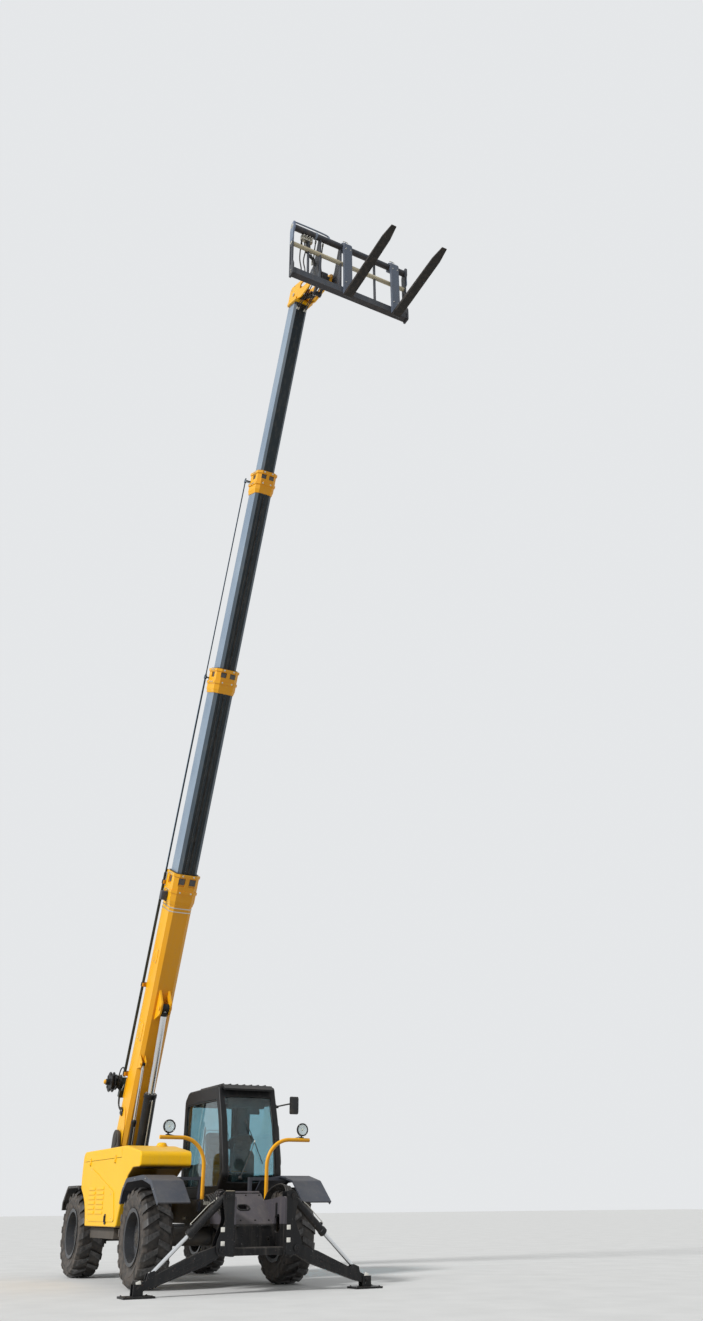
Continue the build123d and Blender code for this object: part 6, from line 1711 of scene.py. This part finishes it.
def make_nose_hoses():
    """Hose bundles that leave the deck beside the nose and run out to the stabilisers."""
    thick, thin = [], []
    for k in range(4):
        step, half = 0.024 * k, 0.012 * k
        thick.append(path(
            (0.66, -0.385 - step, 0.985), (0.74, -0.40 - step, 1.06), (0.86, -0.41 - step, 1.085 - half),
            (1.00, -0.41 - half, 1.02 - step), (1.14, -0.395 - half, 0.93 - step),
            (1.26, -0.375 - half, 0.88 - step),
        ))
    for k in range(4):
        step, half = 0.024 * k, 0.012 * k
        thick.append(path(
            (0.66, 0.385 + step, 0.985), (0.76, 0.40 + step, 1.10), (0.90, 0.42 + step, 1.165 - half),
            (1.06, 0.45 + step, 1.190 - half), (1.19, 0.45 + step, 1.150), (1.255, 0.44 + step, 1.03),
            (1.262, 0.42 + step, 0.88),
        ))
    for out in (-1, 1):
        for step in (0, 0.03):
            thin.append(path(
                (1.27, out * 0.385, 0.97 + step), (1.285, out * 0.42, 1.06 + step),
                (1.285, out * (0.46 + step), 1.120), (1.285, out * (0.52 + step), 1.09),
                (1.285, out * (0.53 + step), 1.02 - step),
            ))
    hoses("nose_side_hoses", "chassis", 0.011, thick, "hose_rubber", 1.6)
    hoses("stabiliser_feed_hoses", "chassis", 0.007, thin, "hose_rubber", 1.6)
    blocks = [plate((0.10, 0.16, 0.05, 0.01), at(1.20, y, 0.90), AHEAD, LEFT) for y in (-0.372, 0.372)]
    build("nose_valve_blocks", "black_enamel", "chassis", blocks, 0.002)


LEG_X, LEG_PIN, LEG_FOOT = 1.385, (0.500, 0.470), (1.507, 0.100)


def make_stabilisers():
    """Pin caps, and on each leg a stiffener, reflector, weld, pad bolts and grip bars."""
    run, drop = LEG_FOOT[0] - LEG_PIN[0], LEG_PIN[1] - LEG_FOOT[1]
    reach = math.hypot(run, drop)
    for side, out in (("right", -1), ("left", 1)):
        along = Vector((0, out * run, -drop)) / reach
        up = Vector((0, out * drop, run)) / reach
        pin, foot_y = at(LEG_X, out * LEG_PIN[0], LEG_PIN[1]), out * LEG_FOOT[0]
        caps = [(pin + Vector((0.0915, 0, 0)), AHEAD, 0.042), (at(1.4715, out * 0.450, 1.050), AHEAD, 0.034)]
        set_points(f"stabiliser_pin_caps_{side}", "chassis", caps, 3, "black_enamel", CAP)
        body = f"stabiliser_{side}"
        stiff = plate((0.30, 0.020, 0.008), pin + along * 0.42 + Vector((0.046, 0, 0)), AHEAD, along)
        build(f"leg_doubler_{side}", "black_enamel", body, [stiff], 0.002)
        square = plate((0.045, 0.060, 0.003, 0.004), at(1.4325, foot_y, 0.150), AHEAD, up)
        build(f"leg_reflector_{side}", "pale_reflector", body, [square], 0.0006)
        front = pin + Vector((0.0455, 0, 0))
        weld = [front + along * s - up * 0.054 for s in (0.12, 0.35, 0.6, 0.85)]
        hoses(f"leg_weld_{side}", body, 0.003, [weld], "black_enamel", 1.0, 2, 6)
        bolts = []
        for x in (-0.10, 0.10):
            for y in (-0.155, 0.155):
                bolts.append((at(LEG_X + x, foot_y + y, 0.0225), UP, 0.020))
        bolts.append((at(LEG_X + 0.068, foot_y, LEG_FOOT[1]), AHEAD, 0.036))
        set_points(f"pad_bolts_{side}", body, bolts, 5, "black_enamel")
        places = [at(LEG_X, foot_y + y, 0.0015) for y in (-0.15, -0.05, 0.05, 0.15)]
        bars = [plate((0.24, 0.010, 0.006), place, UP, AHEAD) for place in places]
        build(f"pad_grips_{side}", "black_enamel", body, bars)


# ------------------------------------------------------------------ pod, lamps and chassis
POD_SKIN = -1.194


def make_pod():
    """Louvres, latch, lid catches, filler cap, belly sheet, sill beam and panel bolts."""
    hood = [(0.0, 0.024), (0.0, -0.018), (0.008, -0.018), (0.009, -0.012), (0.003, 0.024)]
    outward = Matrix(((0, 0, 1, 0), (-1, 0, 0, 0), (0, 1, 0, 0), (0, 0, 0, 1)))
    hood = unit("louvre_hood", [(prism(hood, -0.176, 0.176), outward)], 0.0015)
    for name, x in (("rear", -2.08), ("front", -1.64)):
        row(f"pod_louvres_{name}", "chassis", "pod_enamel", hood, 6, at(x, POD_SKIN, 0.870), (0, 0, 0.062))
    backing = plate((0.80, 0.40, 0.002), at(-1.86, -1.184, 1.025), RIGHT, AHEAD)
    build("pod_louvre_backing", "pod_enamel", "chassis", [backing])
    build("pod_side_latch", "black_moulding", "chassis", [
        plate((0.075, 0.130, 0.006, 0.012), at(-1.295, POD_SKIN - 0.002, 0.790), RIGHT, AHEAD),
        plate((0.030, 0.080, 0.018, 0.008), at(-1.295, POD_SKIN - 0.010, 0.795), RIGHT, AHEAD),
    ], 0.002)
    catches, screws = [], []
    for x in (-2.35, -1.05):
        catches.append(plate((0.045, 0.11, 0.012, 0.010), at(x, -1.189, 1.545), RIGHT, AHEAD))
        catches.append(plate((0.030, 0.040, 0.024, 0.008), at(x, -1.192, 1.515), RIGHT, AHEAD))
        screws.append((at(x, -1.195, 1.585), RIGHT, 0.012))
    build("pod_lid_catches", "pod_enamel", "chassis", catches, 0.0025)
    set_points("pod_catch_screws", "chassis", screws, 3)
    place = at(-0.62, -0.66, 1.696)
    cap = [
        (0, 0.052), (0.040, 0.050), (0.062, 0.040), (0.070, 0.024), (0.070, 0.012), (0.082, 0.010),
        (0.082, -0.004), (0, -0.004),
    ]
    build("pod_intake_cap", "pod_enamel", "chassis", [turned(cap, place, UP, 32)], 0.0, 40)
    bolts = [(place + Vector((0.075 * c, 0.075 * s, 0.010)), UP, 0.010) for c, s in clock(6)]
    set_points("pod_cap_bolts", "chassis", bolts, 3)
    belly = plate((0.86, 0.50, 0.004, 0.03), at(-0.37, -0.83, 1.404), UP, AHEAD)
    build("pod_nose_underside", "black_enamel", "chassis", [belly], 0.001)
    beam = plate((1.20, 0.135, 0.16, 0.01), at(-1.72, -1.02, 0.612), RIGHT, AHEAD)
    build("pod_sill_beam", "dusty_frame_enamel", "chassis", [beam], 0.004)
    spots = ((-2.22, 0.78), (-2.22, 1.44), (-1.02, 0.80), (-1.10, 1.10))
    bolts = [(at(x, POD_SKIN + 0.0005, z), RIGHT, 0.014) for x, z in spots]
    set_points("pod_panel_bolts", "chassis", bolts, 3)


LAMP_X, LAMP_OUT, LAMP_Z = 0.56, 0.974, 1.88
MIRROR_Y, MIRROR_Z = 1.450, 2.305
BOWL = [(0.013, 0.0225), (0.026, 0.0245), (0.045, 0.0262), (0.0655, 0.0290), (0.0655, 0.0225)]
BULB = [(0, 0.033), (0.008, 0.031), (0.012, 0.026), (0.012, 0.0225), (0, 0.0225)]
LENS = [
    (0, 0.0400), (0.025, 0.0392), (0.050, 0.0360), (0.0715, 0.0310), (0.0715, 0.0290), (0.050, 0.0340),
    (0.025, 0.0370), (0, 0.0378),
]
LAMP_RIM = [
    (0.069, 0.030), (0.071, 0.036), (0.077, 0.038), (0.0835, 0.034), (0.0845, 0.010), (0.079, 0.008),
    (0.079, 0.030), (0.069, 0.030),
]
# Piece, finish, profile and sides of what each work lamp holds.
LAMP_PARTS = (
    ("lamp_reflectors", "mirror_silver", BOWL, 32), ("lamp_bulbs", "slide_pad_nylon", BULB, 16),
    ("lamp_lenses", "lamp_glass", LENS, 32), ("lamp_rims", "black_enamel", LAMP_RIM, 36),
)


def make_lamps():
    """Reflector, bulb, fluted glass and a screwed rim in each work lamp; glass and back of the mirror."""
    centres = [at(LAMP_X, out * LAMP_OUT, LAMP_Z) for out in (-1, 1)]
    for name, coat, profile, sides in LAMP_PARTS:
        build(name, coat, "chassis", [turned(profile, centre, AHEAD, sides) for centre in centres], 0.0, 50)
    screws = []
    for centre in centres:
        screws += [(centre + Vector((0.037, 0.0775 * c, 0.0775 * s)), AHEAD, 0.008) for c, s in clock(4, 0.5)]
    set_points("lamp_rim_screws", "chassis", screws, 3)
    leads = [path(
        (0.50, out * LAMP_OUT, 1.86), (0.49, out * 0.97, 1.82), (0.515, out * 0.95, 1.79),
        (0.53, out * 0.90, 1.777),
    ) for out in (-1, 1)]
    hoses("lamp_leads", "chassis", 0.004, leads, "hose_rubber", 1.3)
    glass = plate((0.215, 0.112, 0.003, 0.018), at(-0.7635, MIRROR_Y, MIRROR_Z), BACK)
    build("mirror_glass", "mirror_silver", "chassis", [glass], 0.001)
    build("mirror_housing", "black_moulding", "chassis", [
        plate((0.240, 0.132, 0.020, 0.022), at(-0.716, MIRROR_Y, MIRROR_Z), AHEAD),
        peg(0.020, -0.02, 0.02, at(-0.778, 1.185, 2.280), LEFT, 16),
    ], 0.006)


FRAME_SIDE, FRAME_REAR = 0.3455, -4.290
GUARD_SIDE = 1.2055
# Bolts on each mudguard: how far ahead of its axle and how high.
FRONT_GUARD = ((-0.50, 1.185), (0.0, 1.27), (0.45, 1.262), (0.80, 1.135))
REAR_GUARD = ((-0.60, 1.055), (-0.30, 1.215), (0.12, 1.222))


def make_chassis():
    """Frame, axle and mudguard bolts, then the lamps, tow pin, running gear, tank and tower."""
    bolts = [(at(FRAME_REAR, y, z), BACK, 0.032) for y in (-0.26, 0.26) for z in (0.70, 0.97)]
    for x in (-3.9, -2.4, -1.2, -0.4, 0.3):
        for out in (-1, 1):
            for ahead in (0, 0.06):
                bolts.append((at(x + ahead, out * FRAME_SIDE, 0.80), (0, out, 0), 0.026))
    for axle_x in (0.0, REAR_AXLE):
        for way in (-1, 1):
            for c, s in clock(8):
                bolts.append(
                    (at(axle_x + way * 0.2105, 0.076 * c, AXLE_HEIGHT + 0.076 * s), (way, 0, 0), 0.018)
                )
    set_points("chassis_bolts", "chassis", bolts, 7)
    bolts = []
    for out in (-1, 1):
        for axle_x, spots in ((0.0, FRONT_GUARD), (REAR_AXLE, REAR_GUARD)):
            bolts += [(at(axle_x + x, out * GUARD_SIDE, z), (0, out, 0), 0.013) for x, z in spots]
    set_points("mudguard_bolts", "chassis", bolts, 6)
    make_tail()
    make_running_gear()
    make_steps_and_tank()
    make_tower_hoses()


def make_tail():
    """Rear lamps and the tow pin with its grip."""
    shells = [
        plate((0.11, 0.080, 0.022, 0.01), at(FRAME_REAR - 0.011, y, 0.86), BACK)
        for y in (-0.235, 0.235)
    ]
    lenses = [
        plate((0.096, 0.066, 0.012, 0.01), at(FRAME_REAR - 0.026, y, 0.86), BACK)
        for y in (-0.235, 0.235)
    ]
    build("rear_lamp_shells", "black_moulding", "chassis", shells, 0.002)
    build("rear_lamp_lenses", "red_lens", "chassis", lenses, 0.003)
    pin_x = FRAME_REAR - 0.060
    pin = [
        (0, -0.085), (0.012, -0.085), (0.0165, -0.075), (0.0165, 0.085), (0.028, 0.088), (0.028, 0.100),
        (0, 0.100),
    ]
    build("tow_pin", "zinc_plate", "chassis", [turned(pin, at(pin_x, 0, 0.760), UP, 20)], 0.0, 40)
    grip = path(
        (pin_x, 0, 0.858), (pin_x, -0.02, 0.90), (pin_x, 0.0, 0.93), (pin_x, 0.02, 0.90), (pin_x, 0, 0.858),
    )
    hoses("tow_pin_grip", "chassis", 0.005, [grip], "zinc_plate", 1.2)


def make_running_gear():
    """Drive shaft between the axles and a steering ram behind each."""
    half = [(0.034, 1.15), (0.038, 1.24), (0.060, 1.265), (0.060, 1.285), (0.055, 1.30), (0, 1.30)]
    shaft = [(radius, -reach) for radius, reach in reversed(half)] + half
    shaft = turned(shaft, at(REAR_AXLE / 2, 0, AXLE_HEIGHT), AHEAD, 20)
    build("drive_shaft", "cast_iron_black", "chassis", [shaft], 0.0, 40)
    cylinder = [
        (0, -0.30), (0.032, -0.30), (0.036, -0.29), (0.036, 0.29), (0.032, 0.30), (0.018, 0.305),
        (0.018, 0.52), (0, 0.52),
    ]
    rams = []
    for x in (-0.165, REAR_AXLE + 0.165):
        rams.append(turned(cylinder, at(x, 0, 0.630), LEFT, 20))
        rams.append(peg(0.018, 0.30, 0.52, at(x, 0, 0.630), RIGHT, 16))
    build("steering_rams", "black_enamel", "chassis", rams, 0.001)


def make_steps_and_tank():
    """Tread bars on the cab steps, tank cap and tank straps."""
    bar = unit("tread_bar", [(slab(0.36, 0.008, 0.008, 0.002), HOME)])
    for name, z in (("low", 0.464), ("high", 0.724)):
        row(f"step_ribs_{name}", "chassis", "zinc_plate", bar, 8, at(-1.015, 0.955, z), (0, 0.028, 0))
    cap = [
        (0, 0.036), (0.034, 0.036), (0.046, 0.030), (0.048, 0.008), (0.056, 0.006), (0.056, -0.004),
        (0, -0.004),
    ]
    build("tank_cap", "black_moulding", "chassis", [turned(cap, at(-1.40, 1.120, 0.885), LEFT, 28)], 0.0, 40)
    straps = []
    for x in (-2.05, -1.60):
        straps.append(plate((0.045, 0.30, 0.004), at(x, 1.122, 0.815), LEFT, AHEAD))
        straps.append(plate((0.045, 0.74, 0.004), at(x, 0.735, 0.6385), DOWN, AHEAD))
    build("tank_straps", "zinc_plate", "chassis", straps, 0.0008)


def make_tower_hoses():
    """Valve block, its spools and the hoses that climb to the boom's foot."""
    runs = []
    for k in range(5):
        y = 0.10 + 0.03 * k
        runs.append(path(
            (-3.02, y, 1.02), (-3.10, y, 1.16 + 0.02 * k), (-3.22, y, 1.30), (-3.36, y * 0.8, 1.44),
            (-3.50, y * 0.7, 1.60 - 0.02 * k),
        ))
    hoses("tower_hoses", "chassis", 0.012, runs)
    block = plate((0.26, 0.16, 0.10, 0.02), at(-2.88, 0.17, 1.045), UP, AHEAD)
    build("valve_block", "cast_iron_black", "chassis", [block], 0.004)
    spool = [(0, 0), (0.016, 0), (0.016, 0.035), (0.010, 0.040), (0.010, 0.055), (0, 0.057)]
    spools = [turned(spool, at(-2.79 - 0.045 * k, 0.17, 1.09), UP, 12) for k in range(5)]
    build("valve_spools", "zinc_plate", "chassis", spools)


# ------------------------------------------------------------------ floor and light
FLOOR_REACH = 150
TOWARDS_SUN = Vector((0.30, -0.92, 0.66))


def make_stage():
    """Pale matt floor, barely cloudy, that takes the shadow."""
    made, tree, place = new_material("pale_studio_floor")
    _, tone = dusted(tree, place, "d6d6d4", "dededc", 600 * MM, 0.3, 0.7)
    close_material(tree, **{"Base Color": tone, "Roughness": 0.9})
    mesh = bpy.data.meshes.new("studio_floor")
    corners = [(x * FLOOR_REACH, y * FLOOR_REACH, 0) for x, y in ((-1, -1), (1, -1), (1, 1), (-1, 1))]
    mesh.from_pydata(corners, [], [(0, 1, 2, 3)])
    floor = link("studio_floor", mesh)
    floor.data.materials.append(made)


def make_light():
    """A soft sun from the right and ahead, under a pale sky that is brighter where it is seen directly."""
    world = bpy.data.worlds.new("studio_sky")
    bpy.context.scene.world = world
    world.use_nodes = True
    tree = world.node_tree
    tree.nodes.clear()
    ray = add(tree, "ShaderNodeLightPath")
    seen = add(tree, "ShaderNodeMath", {
        0: ray.outputs["Is Camera Ray"], 1: ray.outputs["Is Transmission Ray"],
    }, operation="MAXIMUM").outputs["Value"]
    seen = add(
        tree, "ShaderNodeMath", {0: seen, 1: ray.outputs["Is Glossy Ray"]}, operation="MAXIMUM",
    ).outputs["Value"]
    sky = add(tree, "ShaderNodeBackground", {"Color": colour("f4f6f8"), "Strength": 0.50})
    backdrop = add(tree, "ShaderNodeBackground", {"Color": colour("eef0f2"), "Strength": 0.92})
    both = add(
        tree, "ShaderNodeMixShader",
        {0: seen, 1: sky.outputs["Background"], 2: backdrop.outputs["Background"]},
    )
    add(tree, "ShaderNodeOutputWorld", {"Surface": both.outputs["Shader"]})
    key = bpy.data.lights.new("key_sun", "SUN")
    key.energy = 2.7
    key.angle = math.radians(10)
    sun = bpy.data.objects.new("key_sun", key)
    sun.rotation_euler = TOWARDS_SUN.to_track_quat("Z", "Y").to_euler()
    bpy.context.scene.collection.objects.link(sun)
    bpy.context.scene.view_settings.view_transform = "Standard"


make_stage()
make_light()
dress_solids()
make_wheels()
make_boom()
make_head()
make_carriage()
make_cylinders()
make_cab()
make_seat()
make_nose()
make_pod()
make_lamps()
make_chassis()
for spent in UNITS:
    bpy.data.objects.remove(spent)
